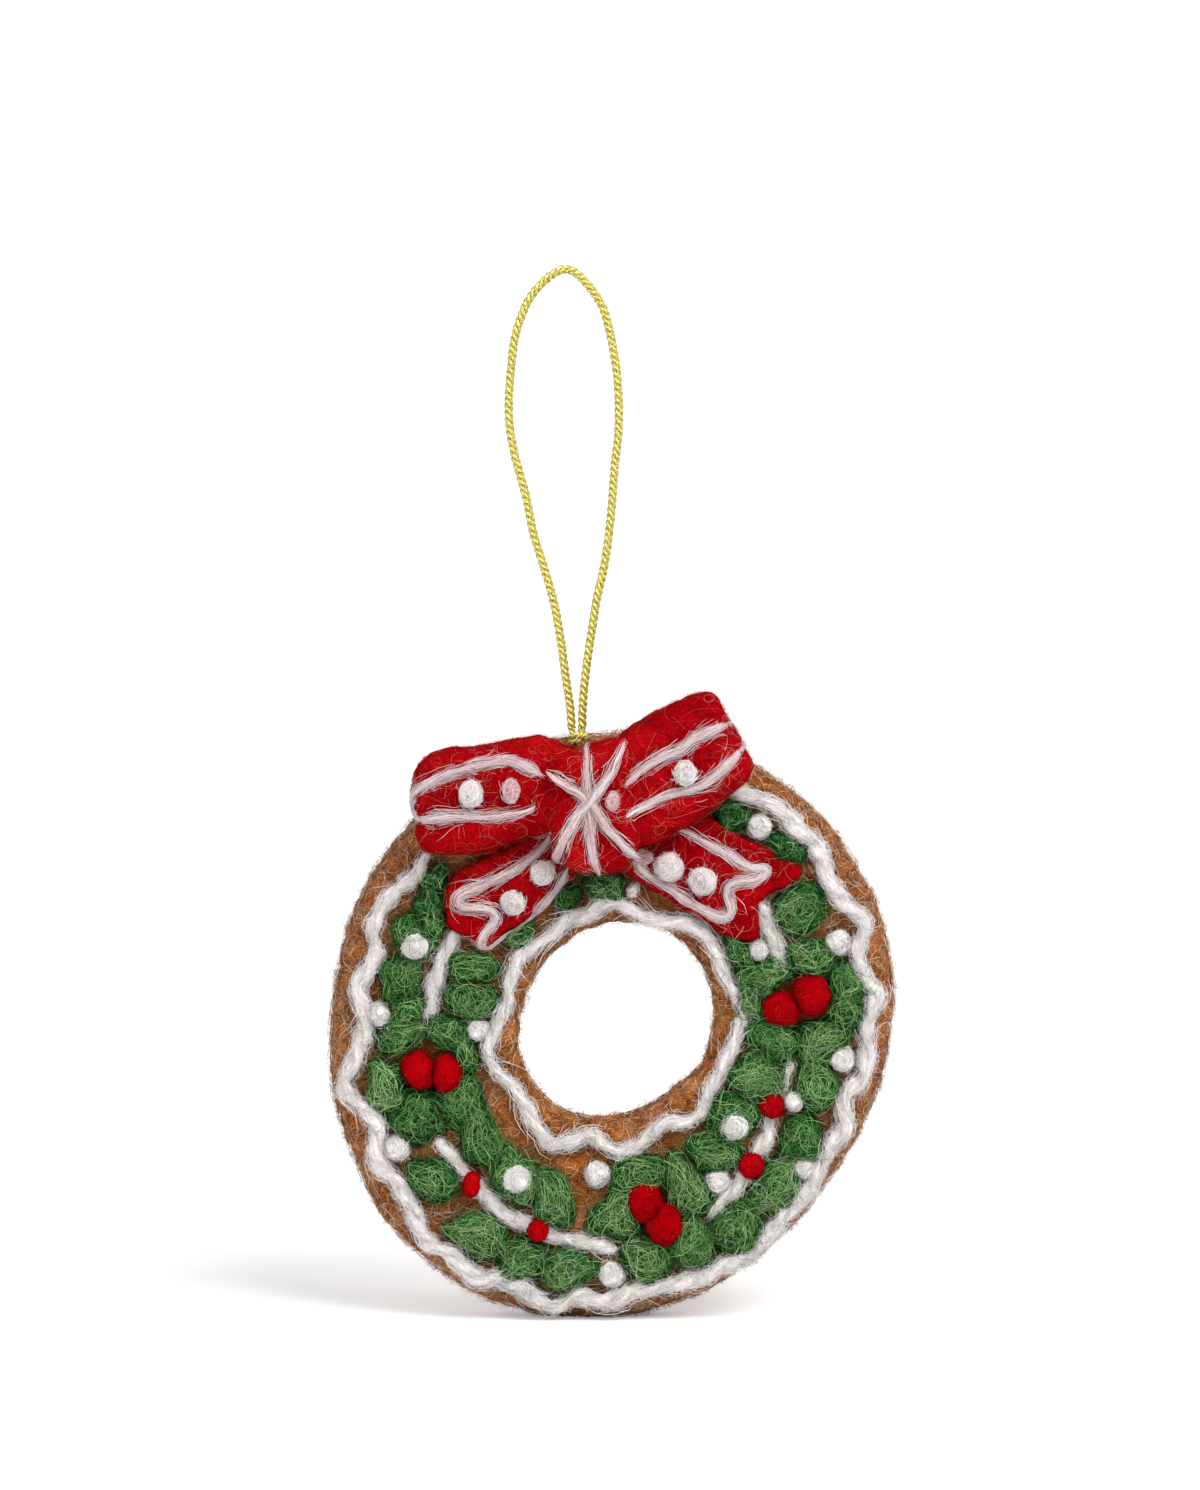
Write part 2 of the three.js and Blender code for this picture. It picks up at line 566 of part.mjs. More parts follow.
function make_bow(wreath) {
  const felts = bow_felts(0);
  const felts_clear = bow_felts(seat);
  const centre_clear = [felts_clear.bow_centre];
  const upper_clear = [felts_clear.bow_centre, felts_clear.bow_loop_left, felts_clear.bow_loop_right];
  const add = (name, body, clear, material) => add_mesh(wreath, name, cut(body, clear), material);
  add("bow_centre", felts.bow_centre, [], red);
  for (const name of ["bow_loop_left", "bow_loop_right"]) add(name, felts[name], centre_clear, red);
  for (const name of ["bow_tail_left", "bow_tail_right"]) add(name, felts[name], upper_clear, red);

  const yarns = bow_yarns(0);
  for (const name of Object.keys(loop_yarn_shares)) add(name, yarns[name], centre_clear, white);
  for (const name of Object.keys(tail_yarn_shares)) add(name, yarns[name], upper_clear, white);
  add("bow_yarn_centre", yarns.bow_yarn_centre, [], white);

  const dots = [
    ...loop_dot_shares.map((share) => [share, loop_depth]),
    ...centre_dot_shares.map((share) => [share, centre_depth]),
    ...tail_dot_shares.map((share) => [share, tail_depth]),
  ];
  const over_dots = [...Object.values(bow_yarns(seat)), ...upper_clear.slice(1)];
  dots.forEach(([share, depth], index) => {
    add("bow_dot_" + (index + 1), dot(share, depth, 0), over_dots, white);
  });
  return Object.values(felts_clear);
}

function make_wreath() {
  const wreath = new THREE.Group();
  wreath.position.set(hang_aside, hang_back, -hang_drop);
  add_mesh(wreath, "felt_ring", ring(), brown);

  const bow_clear = make_bow(wreath);
  const yarns = ring_yarns(0);
  const yarns_clear = Object.values(ring_yarns(seat));
  for (const [name, body] of Object.entries(yarns)) add_mesh(wreath, name, cut(body, bow_clear), white);

  bead_shares.forEach((share, index) => {
    add_mesh(wreath, "garland_bead_" + (index + 1), cut(bead(share, 0), yarns_clear), red);
  });
  const beads_clear = bead_shares.map((share) => bead(share, seat));

  for (const [name, shares] of Object.entries(berry_shares)) {
    add_mesh(wreath, name, join(shares.map((share) => berry(share, 0))), red);
  }
  const berries_clear = Object.values(berry_shares).flat().map((share) => berry(share, seat));

  const pearls = [
    ...pearl_shares.map(([turn, reach, size]) => [on_ring([turn, reach], -seat), size]),
    ...leaf_pearl_shares.map(([turn, reach, size]) => [on_ring([turn, reach], -seat - pearl_lift), size]),
    ...bow_pearl_shares.map(([across, up, size]) => [on_bow([across, up], -seat), size]),
  ];
  pearls.forEach(([middle, size], index) => {
    const clear = [...yarns_clear, ...beads_clear, ...bow_clear];
    add_mesh(wreath, "pearl_" + (index + 1), cut(pearl(middle, size, 0), clear), white);
  });
  const pearls_clear = pearls.map(([middle, size]) => pearl(middle, size, seat));

  const over_leaves = [...yarns_clear, ...beads_clear, ...berries_clear, ...pearls_clear, ...bow_clear];
  for (const [name, leaves] of leaf_groups()) {
    const group_at = (grow) => join(leaves.map(([middle, sizes]) => leaf(middle, sizes, grow)));
    add_mesh(wreath, name, cut(group_at(0), over_leaves), green);
    over_leaves.push(group_at(seat));
  }
  return wreath;
}

function make_cord() {
  const section = new THREE.Shape().absarc(0, 0, cord_diameter / 2, 0, full_turn);
  const route = new THREE.CatmullRomCurve3(
    cord_route.map(([x, z]) => new THREE.Vector3(x, 0, z)),
    false,
    "centripetal",
  );
  const geometry = new THREE.ExtrudeGeometry(section, {
    steps: cord_steps,
    curveSegments: 2 * cord_quarter_sides,
    extrudePath: route,
  });
  const mesh = new THREE.Mesh(geometry, gold);
  mesh.name = "hanging_cord";
  return mesh;
}

function make_knot() {
  const geometry = new THREE.SphereGeometry(knot_width / 2, knot_sides, knot_bands);
  geometry.scale(1, knot_height / knot_width, 1);
  const mesh = new THREE.Mesh(geometry, gold);
  mesh.name = "cord_knot";
  mesh.position.set(knot_x, 0, knot_z);
  return mesh;
}

const ornament = new THREE.Group();
ornament.add(make_cord(), make_knot(), make_wreath());

export default ornament;
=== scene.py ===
import json
import math

import bpy
import numpy as np
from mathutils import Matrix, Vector
from mathutils.bvhtree import BVHTree

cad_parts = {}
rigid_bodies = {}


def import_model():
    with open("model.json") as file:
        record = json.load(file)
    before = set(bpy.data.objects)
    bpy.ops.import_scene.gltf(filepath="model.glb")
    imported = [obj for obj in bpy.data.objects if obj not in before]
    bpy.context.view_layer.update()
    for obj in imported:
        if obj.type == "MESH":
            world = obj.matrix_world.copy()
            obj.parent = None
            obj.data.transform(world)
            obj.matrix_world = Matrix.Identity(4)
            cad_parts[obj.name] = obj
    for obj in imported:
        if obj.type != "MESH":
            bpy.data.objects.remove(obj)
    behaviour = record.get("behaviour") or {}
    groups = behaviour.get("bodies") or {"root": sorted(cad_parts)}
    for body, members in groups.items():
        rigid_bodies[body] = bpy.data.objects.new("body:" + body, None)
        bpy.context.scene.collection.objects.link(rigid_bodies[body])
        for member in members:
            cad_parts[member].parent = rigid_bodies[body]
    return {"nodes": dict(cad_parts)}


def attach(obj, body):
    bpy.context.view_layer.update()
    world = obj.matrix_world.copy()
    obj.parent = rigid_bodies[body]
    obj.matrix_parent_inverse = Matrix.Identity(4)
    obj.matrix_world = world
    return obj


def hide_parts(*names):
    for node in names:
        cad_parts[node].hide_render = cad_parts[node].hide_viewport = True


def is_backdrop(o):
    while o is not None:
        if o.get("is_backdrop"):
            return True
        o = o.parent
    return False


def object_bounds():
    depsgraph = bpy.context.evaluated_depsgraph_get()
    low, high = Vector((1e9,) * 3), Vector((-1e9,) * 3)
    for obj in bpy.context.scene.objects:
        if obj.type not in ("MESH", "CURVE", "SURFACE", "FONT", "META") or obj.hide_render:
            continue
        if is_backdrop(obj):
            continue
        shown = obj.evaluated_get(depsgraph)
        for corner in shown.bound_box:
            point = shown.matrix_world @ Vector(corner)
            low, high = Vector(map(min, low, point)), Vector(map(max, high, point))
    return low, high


# A needle-felted wreath ornament on a gold cord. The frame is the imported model: metres, +Z up, front to -Y,
# origin where the cord hangs on its hook. Sizes here are millimetres until a mesh is made.
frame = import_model()
cad_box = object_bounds()

MM = 0.001
TURN = 2 * math.pi
FRONT = np.array([0.0, -1.0, 0.0])
# Fibres are split into pieces of about this many faces, so that each one stays light
PIECE_FACES = 180000

# Ring, as in the frame, the gap between pieces, and how far right of the hook and behind it the wreath hangs
RING_RADIUS = 43.1
RING_OVAL = 1.77
RING_OVAL_TURN = math.radians(61.6)
RING_LOBE = 0.57
RING_LOBE_TURN = math.radians(12.2)
HOLE_RADIUS = 14.4
HOLE_SHIFT = 1.18
HOLE_SHIFT_TURN = math.radians(27)
HOLE_OVAL = 1.07
HOLE_OVAL_TURN = math.radians(42)
SEAT = 0.3
HANG_ASIDE = 6.5
HANG_BACK = 0.4

# Yarns: width and height
ICING_OUTER = (3.2, 2.7)
ICING_INNER = (2.5, 2.2)
GARLAND = (2.1, 1.8)
BOW_YARN = (1.9, 1.5)

# Felt leaves, berries, beads, pearls and dots
LEAF_LENGTH = 7.5
LEAF_WIDTH = 6.6
LEAF_HEIGHT = 2.4
BERRY_WIDTH = 5.6
BERRY_HEIGHT = 4.0
BERRY_BED = 1.2
BEAD_WIDTH = 3.7
BEAD_HEIGHT = 2.4
BEAD_LIFT = 0.9
PEARL_WIDTH = 3.6
PEARL_HEIGHT = 2.8
PEARL_LIFT = 1.4
DOT_WIDTH = 3.6

# Bow
BOW_SPAN = 50.5
BOW_ASIDE = -2.75
BOW_DROP = 8.75

# Cord
KNOT_HEIGHT = 2.5

# Centreline of the cord from its left foot over the hook to its right foot, x and z
CORD_ROUTE = [
    [1.0, -68.2], [0.8, -65.2], [0.1, -60.5], [-0.6, -55.1], [-1.8, -48.7], [-3.5, -42.9],
    [-4.7, -39.0], [-5.9, -33.1], [-7.4, -27.7], [-8.3, -22.7], [-8.4, -18.8], [-8.0, -13.5],
    [-7.5, -9.6], [-6.6, -6.6], [-5.4, -3.9], [-3.5, -1.5], [-1.5, 0.1], [0.0, 0.65],
    [1.5, 0.2], [3.2, -1.4], [4.6, -3.2], [5.7, -5.1], [6.5, -7.7], [7.2, -11.0],
    [7.8, -14.9], [8.1, -19.9], [8.0, -24.2], [7.5, -28.6], [7.1, -34.0], [6.6, -39.0],
    [5.9, -43.8], [4.8, -48.7], [4.1, -53.1], [3.5, -57.0], [3.0, -60.9], [2.65, -65.2],
    [2.6, -68.2],
]

# Places on the ring are degrees round it and shares of the way from its hole to its rim. Places on the bow
# are shares of its span, from its middle. Leaves, berries, beads and dots add shares of their length and
# width, and leaves and berries the turn of their long axis. Pearls add a share of their width.
ICING_OUTER_SHARES = [
    [136, 0.85], [142, 0.83], [149, 0.88], [157, 0.89], [163, 0.83], [171, 0.88], [177, 0.83],
    [182, 0.83], [187, 0.87], [193, 0.95], [199, 0.86], [203, 0.82], [210, 0.89], [217, 0.85],
    [224, 0.87], [230, 0.92], [236, 0.89], [242, 0.92], [249, 0.87], [254, 0.9], [259, 0.94],
    [264, 0.88], [269, 0.91], [276, 0.88], [283, 0.9], [290, 0.93], [296, 0.93], [302, 0.96],
    [307, 0.95], [313, 0.92], [320, 0.93], [326, 0.9], [332, 0.89], [337, 0.91], [343, 0.84],
    [349, 0.9], [355, 0.89], [1, 0.87], [7, 0.91], [12, 0.84], [17, 0.84], [22, 0.92], [28, 0.85],
    [34, 0.84], [40, 0.89], [46, 0.88], [52, 0.9], [57, 0.88], [62, 0.86], [66, 0.85],
]
ICING_INNER_SHARES = [
    [0, 0.16], [8, 0.17], [17, 0.12], [26, 0.1], [37, 0.12], [50, 0.12], [60, 0.07], [69, 0.05],
    [79, 0.09], [90, 0.14], [100, 0.1], [110, 0.12], [122, 0.1], [133, 0.12], [143, 0.14],
    [154, 0.12], [164, 0.09], [175, 0.1], [184, 0.14], [193, 0.17], [202, 0.14], [213, 0.09],
    [224, 0.1], [235, 0.14], [244, 0.18], [253, 0.13], [260, 0.09], [268, 0.13], [275, 0.18],
    [284, 0.17], [293, 0.13], [301, 0.12], [309, 0.18], [317, 0.2], [327, 0.15], [338, 0.14],
    [349, 0.14],
]
GARLAND_SHARES = {
    "garland_yarn_upper_left": [[148, 0.49], [157, 0.49], [168, 0.49], [178, 0.49]],
    "garland_yarn_lower_left": [
      [215, 0.56], [219, 0.55], [225, 0.55], [234, 0.56], [243, 0.59], [249, 0.58],
      [256, 0.6], [265, 0.62], [271, 0.65],
    ],
    "garland_yarn_lower_right": [
      [347, 0.49], [339, 0.48], [332, 0.5], [326, 0.56], [320, 0.58], [314, 0.61],
      [308, 0.63], [300, 0.66],
    ],
    "garland_yarn_upper_right": [[41, 0.46], [37, 0.45], [28, 0.42], [20, 0.43]],
}
LEAF_SHARES = {
    "leaves_left": [
      [139, 0.74, 0.64, 0.55, 50], [145, 0.7, 0.72, 0.64, 80], [149, 0.63, 0.6, 0.6, 90],
      [155, 0.68, 0.92, 0.95, 110], [166, 0.67, 1.0, 1.05, 120], [175, 0.6, 0.8, 0.72, 20],
      [156, 0.32, 1.08, 0.75, 5], [169, 0.27, 1.04, 1.04, 15],
      [182, 0.62, 1.04, 0.9, 20], [182, 0.38, 1.1, 0.82, 160], [191, 0.29, 0.85, 0.55, 100],
      [195, 0.73, 1.04, 1.0, 100], [205, 0.6, 1.16, 1.24, 75], [206, 0.37, 1.26, 1.2, 70],
      [221, 0.37, 1.42, 0.9, 95], [238, 0.4, 1.34, 0.98, 100], [252, 0.42, 1.36, 0.92, 105],
    ],
    "leaf_lower_left": [[221, 0.69, 1.16, 1.05, 170]],
    "leaves_bottom_left": [
      [238, 0.74, 1.3, 1.0, 165], [250, 0.75, 1.24, 1.02, 15], [261, 0.75, 1.16, 0.96, 10],
    ],
    "leaves_bottom": [
      [273, 0.48, 1.24, 1.12, 85], [282, 0.31, 1.2, 1.0, 5], [296, 0.47, 1.24, 1.12, 110],
      [279, 0.73, 1.16, 1.14, 150], [291, 0.73, 1.24, 1.1, 75],
    ],
    "leaves_lower_right": [
      [303, 0.81, 1.36, 1.16, 65], [317, 0.78, 1.46, 1.12, 60], [330, 0.73, 1.16, 1.08, 85],
    ],
    "leaves_right": [
      [310, 0.4, 1.16, 0.98, 165], [325, 0.35, 1.16, 1.12, 20], [341, 0.34, 1.2, 1.1, 170],
      [345, 0.66, 1.2, 1.02, 95], [18, 0.32, 1.12, 0.91, 20], [19, 0.57, 1.08, 0.9, 165],
      [11, 0.21, 1.0, 0.73, 100], [10, 0.75, 1.04, 0.88, 100], [4, 0.74, 0.9, 0.84, 80],
      [356, 0.36, 1.12, 1.04, 0], [356, 0.63, 1.04, 1.12, 0], [30, 0.22, 0.72, 0.62, 120],
    ],
    "leaf_upper_right": [[32, 0.62, 1.24, 1.09, 160]],
    "leaf_beside_bow": [[45, 0.77, 0.88, 0.68, 145]],
}
BERRY_SHARES = {
    "berries_left": [[193, 0.54, 1.08, 0.76, 95], [196, 0.4, 1.12, 0.76, 85]],
    "berries_right": [[6, 0.38, 0.97, 0.94, 90], [9, 0.55, 1.08, 0.97, 160]],
    "berries_bottom": [[282, 0.45, 1.0, 1.0, 0], [286, 0.59, 1.02, 1.02, 0]],
}
BEAD_SHARES = [
    [229, 0.56, 1.05, 0.75], [251, 0.59, 0.88, 0.84], [334, 0.49, 0.98, 0.98], [316, 0.6, 1.02, 1.05],
]
PEARL_SHARES = [
    [177, 0.75, 1.0], [181, 0.22, 0.96], [210, 0.77, 1.08], [266, 0.28, 1.04], [271, 0.78, 1.08],
    [305, 0.54, 1.04], [338, 0.59, 0.83], [324, 0.83, 1.0], [352, 0.76, 1.08], [20, 0.75, 1.04],
    [53, 0.76, 1.04],
]
LEAF_PEARL_SHARES = [[157, 0.65, 0.96], [239, 0.4, 1.04], [322, 0.38, 1.0]]
BOW_LEAF_SHARES = {
    "leaf_above_tail": [[0.419, -0.049, 0.8, 0.77, 120]],
    "leaf_under_bow": [[0.04, -0.256, 0.92, 0.68, 160]],
}
BOW_PEARL_SHARES = [[0.502, -0.453, 0.88]]
LOOP_YARN_SHARES = {
    "bow_yarn_left_loop": [
        [-0.157, -0.009], [-0.182, -0.025], [-0.239, -0.035], [-0.288, -0.045], [-0.337, -0.042],
        [-0.402, -0.042], [-0.468, -0.049], [-0.514, -0.048], [-0.525, -0.02], [-0.525, 0.008],
        [-0.505, 0.038], [-0.46, 0.065], [-0.402, 0.09], [-0.329, 0.11], [-0.239, 0.125],
        [-0.198, 0.109], [-0.148, 0.084],
    ],
    "bow_yarn_right_upper": [
        [0.098, 0.047], [0.129, 0.076], [0.174, 0.106], [0.223, 0.136], [0.272, 0.153],
        [0.304, 0.184], [0.341, 0.204], [0.386, 0.221], [0.419, 0.231],
    ],
    "bow_yarn_right_lower": [
        [0.102, -0.049], [0.129, -0.026], [0.169, -0.008], [0.218, 0.019], [0.276, 0.033],
        [0.325, 0.047], [0.366, 0.074], [0.406, 0.11], [0.441, 0.145], [0.465, 0.176],
    ],
}
TAIL_YARN_SHARES = {
    "bow_yarn_left_tail": [
        [-0.107, -0.082], [-0.137, -0.136], [-0.174, -0.174], [-0.215, -0.2], [-0.28, -0.237],
        [-0.337, -0.265], [-0.393, -0.287], [-0.39, -0.316], [-0.329, -0.323], [-0.286, -0.332],
        [-0.28, -0.363], [-0.314, -0.396], [-0.329, -0.433], [-0.308, -0.457], [-0.27, -0.433],
        [-0.215, -0.388], [-0.157, -0.331], [-0.116, -0.282], [-0.084, -0.237], [-0.072, -0.208],
    ],
    "bow_yarn_right_tail": [
        [0.255, -0.086], [0.3, -0.102], [0.349, -0.131], [0.406, -0.159], [0.447, -0.188],
        [0.488, -0.207], [0.533, -0.205], [0.496, -0.234], [0.433, -0.244], [0.408, -0.265],
        [0.41, -0.292], [0.424, -0.323], [0.41, -0.352], [0.374, -0.347], [0.317, -0.316],
        [0.251, -0.272], [0.194, -0.237], [0.147, -0.2], [0.143, -0.163],
    ],
}
CENTRE_YARN_SHARES = [
    [[-0.01, 0.177], [-0.008, 0.127], [-0.006, 0.07], [-0.002, 0.004], [-0.002, -0.061], [0.002, -0.118],
     [0.01, -0.167], [0.029, -0.21]],
    [[-0.125, 0.098], [-0.076, 0.057], [-0.027, 0.019], [0.014, -0.02], [0.047, -0.073], [0.088, -0.11],
     [0.13, -0.158]],
    [[0.1, 0.176], [0.084, 0.127], [0.055, 0.07], [0.014, 0.02], [-0.027, -0.029], [-0.059, -0.078],
     [-0.08, -0.127], [-0.094, -0.192]],
]
LOOP_DOT_SHARES = [[-0.351, 0.025, 1.12, 0.95], [-0.233, 0.033, 0.98, 0.7], [0.281, 0.086, 0.98, 0.88]]
CENTRE_DOT_SHARES = [[0.067, 0.005, 0.74, 0.54]]
TAIL_DOT_SHARES = [
    [-0.14, -0.216, 0.98, 0.98], [-0.228, -0.305, 1.02, 0.97],
    [0.235, -0.198, 1.18, 1.18], [0.333, -0.241, 1.14, 1.12],
]

# A faint puff of white wool at the root of the right tail, which the CAD model doesn't have
PUFF_SHARES = [[0.154, -0.17, 0.6, 0.9]]

# Two small leaves that peep out under the bow, and two faint specks of white wool beside its tails: how far
# they lie right of the ring's middle and above it, their length and width, and the turn of their long axis
PEEPING_LEAVES = [[-6.4, 19.6, 4.5, 3.9, 20], [-13.3, 13.7, 5.1, 3.3, 40]]
WHITE_SPECKS = [[4.6, 25.4, 3.4, 2.6, 30], [3.7, 20.6, 2.6, 1.6, 60]]

# Felt: the size of its mesh, the rounds of smoothing, how much it is grown, and each size of bump's height
# and wavelength
RING_VOXEL = 0.55
RING_ROUNDS = 9
RING_GROWTH = 0.12
RING_BUMPS = [(0.26, 14), (0.09, 5), (0.08, 2.2)]
BOW_VOXEL = 0.34
BOW_BUMPS = [(0.22, 8), (0.12, 3), (0.05, 1.5)]

# The bow's felts: their CAD nodes, rounds of smoothing, growth, and how far nodes that make one felt are
# grown over the gaps between them
BOW_FELTS = {
    "bow_felt": (["bow_centre", "bow_loop_left", "bow_loop_right"], 4, -0.27, 0.35),
    "tail_left_felt": (["bow_tail_left"], 5, 0.12, 0.0),
    "tail_right_felt": (["bow_tail_right"], 5, 0.12, 0.0),
}

# The ring's hole is opened by the ease, by the back ease as well at its back, and less and less as far out
# from its edge as it is softened
HOLE_SOFTENED = 4.5
HOLE_EASE = 0.5
HOLE_BACK_EASE = 0.6
RING_DEPTH = 9.0

# Domes: rows and sides of their mesh, and their sizes as shares of the CAD ones. Leaves and berries have a
# share of the length, the width and the height, beads one of both widths and one of the height, peeping
# leaves one of the height, and pearls on leaves one of the width, and they lie higher by the leaf's rise
DOME_ROWS = 11
DOME_SIDES = 34
LEAF_FIT = (0.95, 0.95, 1.14)
BERRY_FIT = (0.97, 1.17, 0.9)
BEAD_FIT = (1.08, 1.2)
PEEPING_FIT = 0.8
LEAF_PEARL_FIT = 1.1
LEAF_RISE = 0.4
SPECK_HEIGHT = 1.4
LEAF_SEED = 31
BALL_SEED = 71
LEAF_ROUGHNESS = 0.5
BERRY_ROUGHNESS = 0.2
PEARL_ROUGHNESS = 0.22

# Dots rise by this much where they are a whole width across, and not at all at the sunk share of it. Those
# no wider than the faint share are faint
DOT_RISE = 2.0
DOT_SUNK = 0.3
FAINT_DOT = 0.7
DOT_WISPS = 300
DOT_WISP_RADIUS = 0.014

# Curls wound over each ball and dot: how many, and their radius
BALL_CURLS = {"pearl_fibres": (75, 0.05), "faint_dot_fibres": (60, 0.035)}

# Leaves: curls on one of full size, tangles over all of them, and the radius of both. The bow shades their
# wool by this much, from this far above the ring's middle, and in full past the edge
LEAF_CURLS = 150
LEAF_TANGLES = 3400
LEAF_FIBRE_RADIUS = 0.045
BOW_SHADE = 0.3
BOW_SHADE_FROM = 17.0
BOW_SHADE_EDGE = 6.0

# Yarns: plies, and the step and sides of their mesh. Then how far fibres stray past the ends, how many half
# widths the ends are drawn out over, how far they are tucked under leaves, how deep the yarns lie, rounds of
# smoothing on the bow, their sizes as shares of the CAD width and height, or of the width alone, how much
# higher each yarn of the bow's centre lies than the one before, fibres to a millimetre, and their radii
YARN_PLIES = 2
YARN_STEP = 0.4
YARN_PLY_SIDES = 14
WISP = 1.5
TAPER = 1.6
TUCK = 0.9
YARN_BED = 0.15
SETTLING_ROUNDS = 6
ICING_FIT = (0.8, 0.95)
GARLAND_FIT = 1.12
BOW_YARN_FIT = (0.84, 0.5)
CENTRE_YARN_LIFT = 0.3
ICING_STRANDS = 6.2
BOW_YARN_STRANDS = 8.5
ICING_FIBRE_RADIUS = 0.042
BOW_YARN_FIBRE_RADIUS = 0.027

# Cord and knot: three plies wound round each other, and the steps and sides of their meshes. Then how far the
# cord reaches above and below the knot's middle, its turns round its feet, how far out it winds, how far the
# feet lean, and the cut end's route
CORD_PLIES = 3
CORD_STEP = 0.22
CORD_PLY_SIDES = 8
KNOT_STEP = 0.15
KNOT_PLY_SIDES = 7
PLY_RADIUS = 0.35
PLY_OFFSET = 0.33
PLY_PITCH = 3.0
KNOT_PLY_RADIUS = 0.28
KNOT_PLY_OFFSET = 0.27
KNOT_REACH = 0.9
KNOT_TURNS = 2.1
KNOT_WRAP = 0.72
KNOT_LEAN = 0.45
CUT_END = [[0.2, -0.5, 0.1], [1.0, -0.8, 0.35], [1.6, -0.9, 0.3]]

# Fibres that creep over a surface: how many, least and most length, points along each, curl, least and most
# lift, radius, and the middle and spread of their tone
CREEPING_FIBRES = {
    "ring_fibres": (8500, (2, 5), 6, 0.5, (0.0, 0.3), 0.05, (0.5, 0.42)),
    "ring_curls": (4200, (2, 6), 9, 0.5, (0.05, 0.6), 0.026, (0.45, 0.35)),
    "bow_fibres": (3600, (1.2, 3.2), 5, 0.4, (0.0, 0.06), 0.03, (0.45, 0.2)),
    "bow_strays": (900, (2, 7), 9, 0.35, (0.05, 0.4), 0.012, (0.4, 0.3)),
    "berry_fibres": (900, (0.8, 2.2), 4, 0.4, (0.0, 0.08), 0.035, (0.5, 0.2)),
    "icing_curls": (4200, (1.5, 5), 7, 0.55, (0.0, 0.6), 0.03, (0.5, 0.4)),
    "bow_cobweb": (1100, (1.5, 5), 10, 0.4, (0.05, 0.35), 0.009, (0.45, 0.3)),
    "green_strays": (1500, (2.5, 7), 8, 0.35, (0.05, 0.6), 0.036, (0.6, 0.25)),
    "white_strays": (1150, (2.5, 9), 12, 0.3, (0.1, 0.7), 0.018, (0.6, 0.3)),
    "brown_strays": (1500, (1.5, 7), 9, 0.4, (0.1, 0.8), 0.02, (0.42, 0.3)),
}

# Fibres that stand up from a surface: how many, least and most length, points along each, lean, curl, radius,
# and the middle and spread of their tone
STANDING_FIBRES = {
    "ring_fuzz": (5500, (0.6, 2.0), 4, 1.1, 0.5, 0.03, (0.6, 0.25)),
    "bow_fuzz": (12000, (0.25, 0.8), 4, 0.9, 0.3, 0.023, (0.62, 0.32)),
    "berry_fuzz": (1100, (0.3, 1.0), 4, 0.9, 0.3, 0.026, (0.6, 0.25)),
    "icing_fuzz": (4200, (0.5, 2.0), 5, 1.3, 0.5, 0.021, (0.45, 0.35)),
    "pearl_fuzz": (2200, (0.3, 1.1), 4, 1.2, 0.5, 0.02, (0.7, 0.25)),
}

# Bare bands of felt at the ring's hole and at its rim, and the share by which a face looks back or forward
# before it counts as one that does
HOLE_BAND = 5
RIM_BAND = 9
LOOKS_BACK = 0.6
LOOKS_FORWARD = -0.1

# Depths in front of every piece, and of a first guess at the bow's face
BEFORE_ALL = -40
BOW_FACE = -5

# Materials: how many rays find the narrow places that get painted shade and how far they reach, and the turns
# of three layers of strands
SHADE_RAYS = 3
SHADE_REACH = 2.2
STRAND_TURNS = ((0.3, 0.2, 0.0), (0.1, 1.3, 0.5), (0.4, 2.4, 0.2))

# Camera: millimetres to a pixel of the photo, the pixels of its middle and of the hook, and its size. The
# distance is in metres, and the sensor's height in millimetres
PIXEL = 0.15044
MIDDLE_PIXEL = (600, 741)
HOOK_PIXEL = (565, 271)
FRAME_PIXELS = (1200, 1490)
CAMERA_DISTANCE = 0.9
CAMERA_ELEVATION = math.radians(3)
SENSOR = 24.0

# Floor and lights, in metres and watts: each lamp's place, size and power, all aimed at the wreath. The floor
# glows more the farther it is from the ornament
FLOOR_WIDTH = 3.0
FLOOR_FRONT = -2.5
FLOOR_BEND_FROM = 0.9
FLOOR_BEND = 0.5
FLOOR_TOP = 2.2
FLOOR_STEPS = 12
FLOOR_GLOW = (0.24, 0.42)
GLOW_REACH = (0.2, 0.7)
LIGHT_AIM = (0.006, 0, -0.11)
LAMPS = {"key": ((0.49, -0.69, 0.61), 0.62, 11.1), "fill": ((-0.8, -0.7, 0.25), 0.8, 3.9)}
WORLD_STRENGTH = 0.5

KNOT_X = (CORD_ROUTE[0][0] + CORD_ROUTE[-1][0]) / 2
KNOT_Z = CORD_ROUTE[0][1] - SEAT - KNOT_HEIGHT / 2
HANG_DROP = RING_RADIUS + SEAT - KNOT_Z
BOW_RISE = RING_RADIUS - BOW_DROP
WREATH = np.array([HANG_ASIDE, HANG_BACK, -HANG_DROP])


def unit(vectors):
    return vectors / np.maximum(np.linalg.norm(vectors, axis=-1, keepdims=True), 1e-9)


def squared(vectors, normals):
    """Vectors made square to normals, of length 1."""
    return unit(vectors - normals * (vectors * normals).sum(1, keepdims=True))


def lumps(points, wavelength, seed):
    """Smooth bumps over points, mostly from -1 to 1, the same each run."""
    dice = np.random.default_rng(seed)
    count = 16
    ways = unit(dice.normal(size=(count, 3))) * (TURN / wavelength) * dice.uniform(0.7, 1.5, (count, 1))
    phases = dice.uniform(0, TURN, count)
    return np.sin(points @ ways.T + phases).sum(axis=-1) / math.sqrt(count)


def rim(turn):
    oval = RING_OVAL * math.cos(2 * (turn - RING_OVAL_TURN))
    return RING_RADIUS + oval + RING_LOBE * math.cos(3 * (turn - RING_LOBE_TURN))


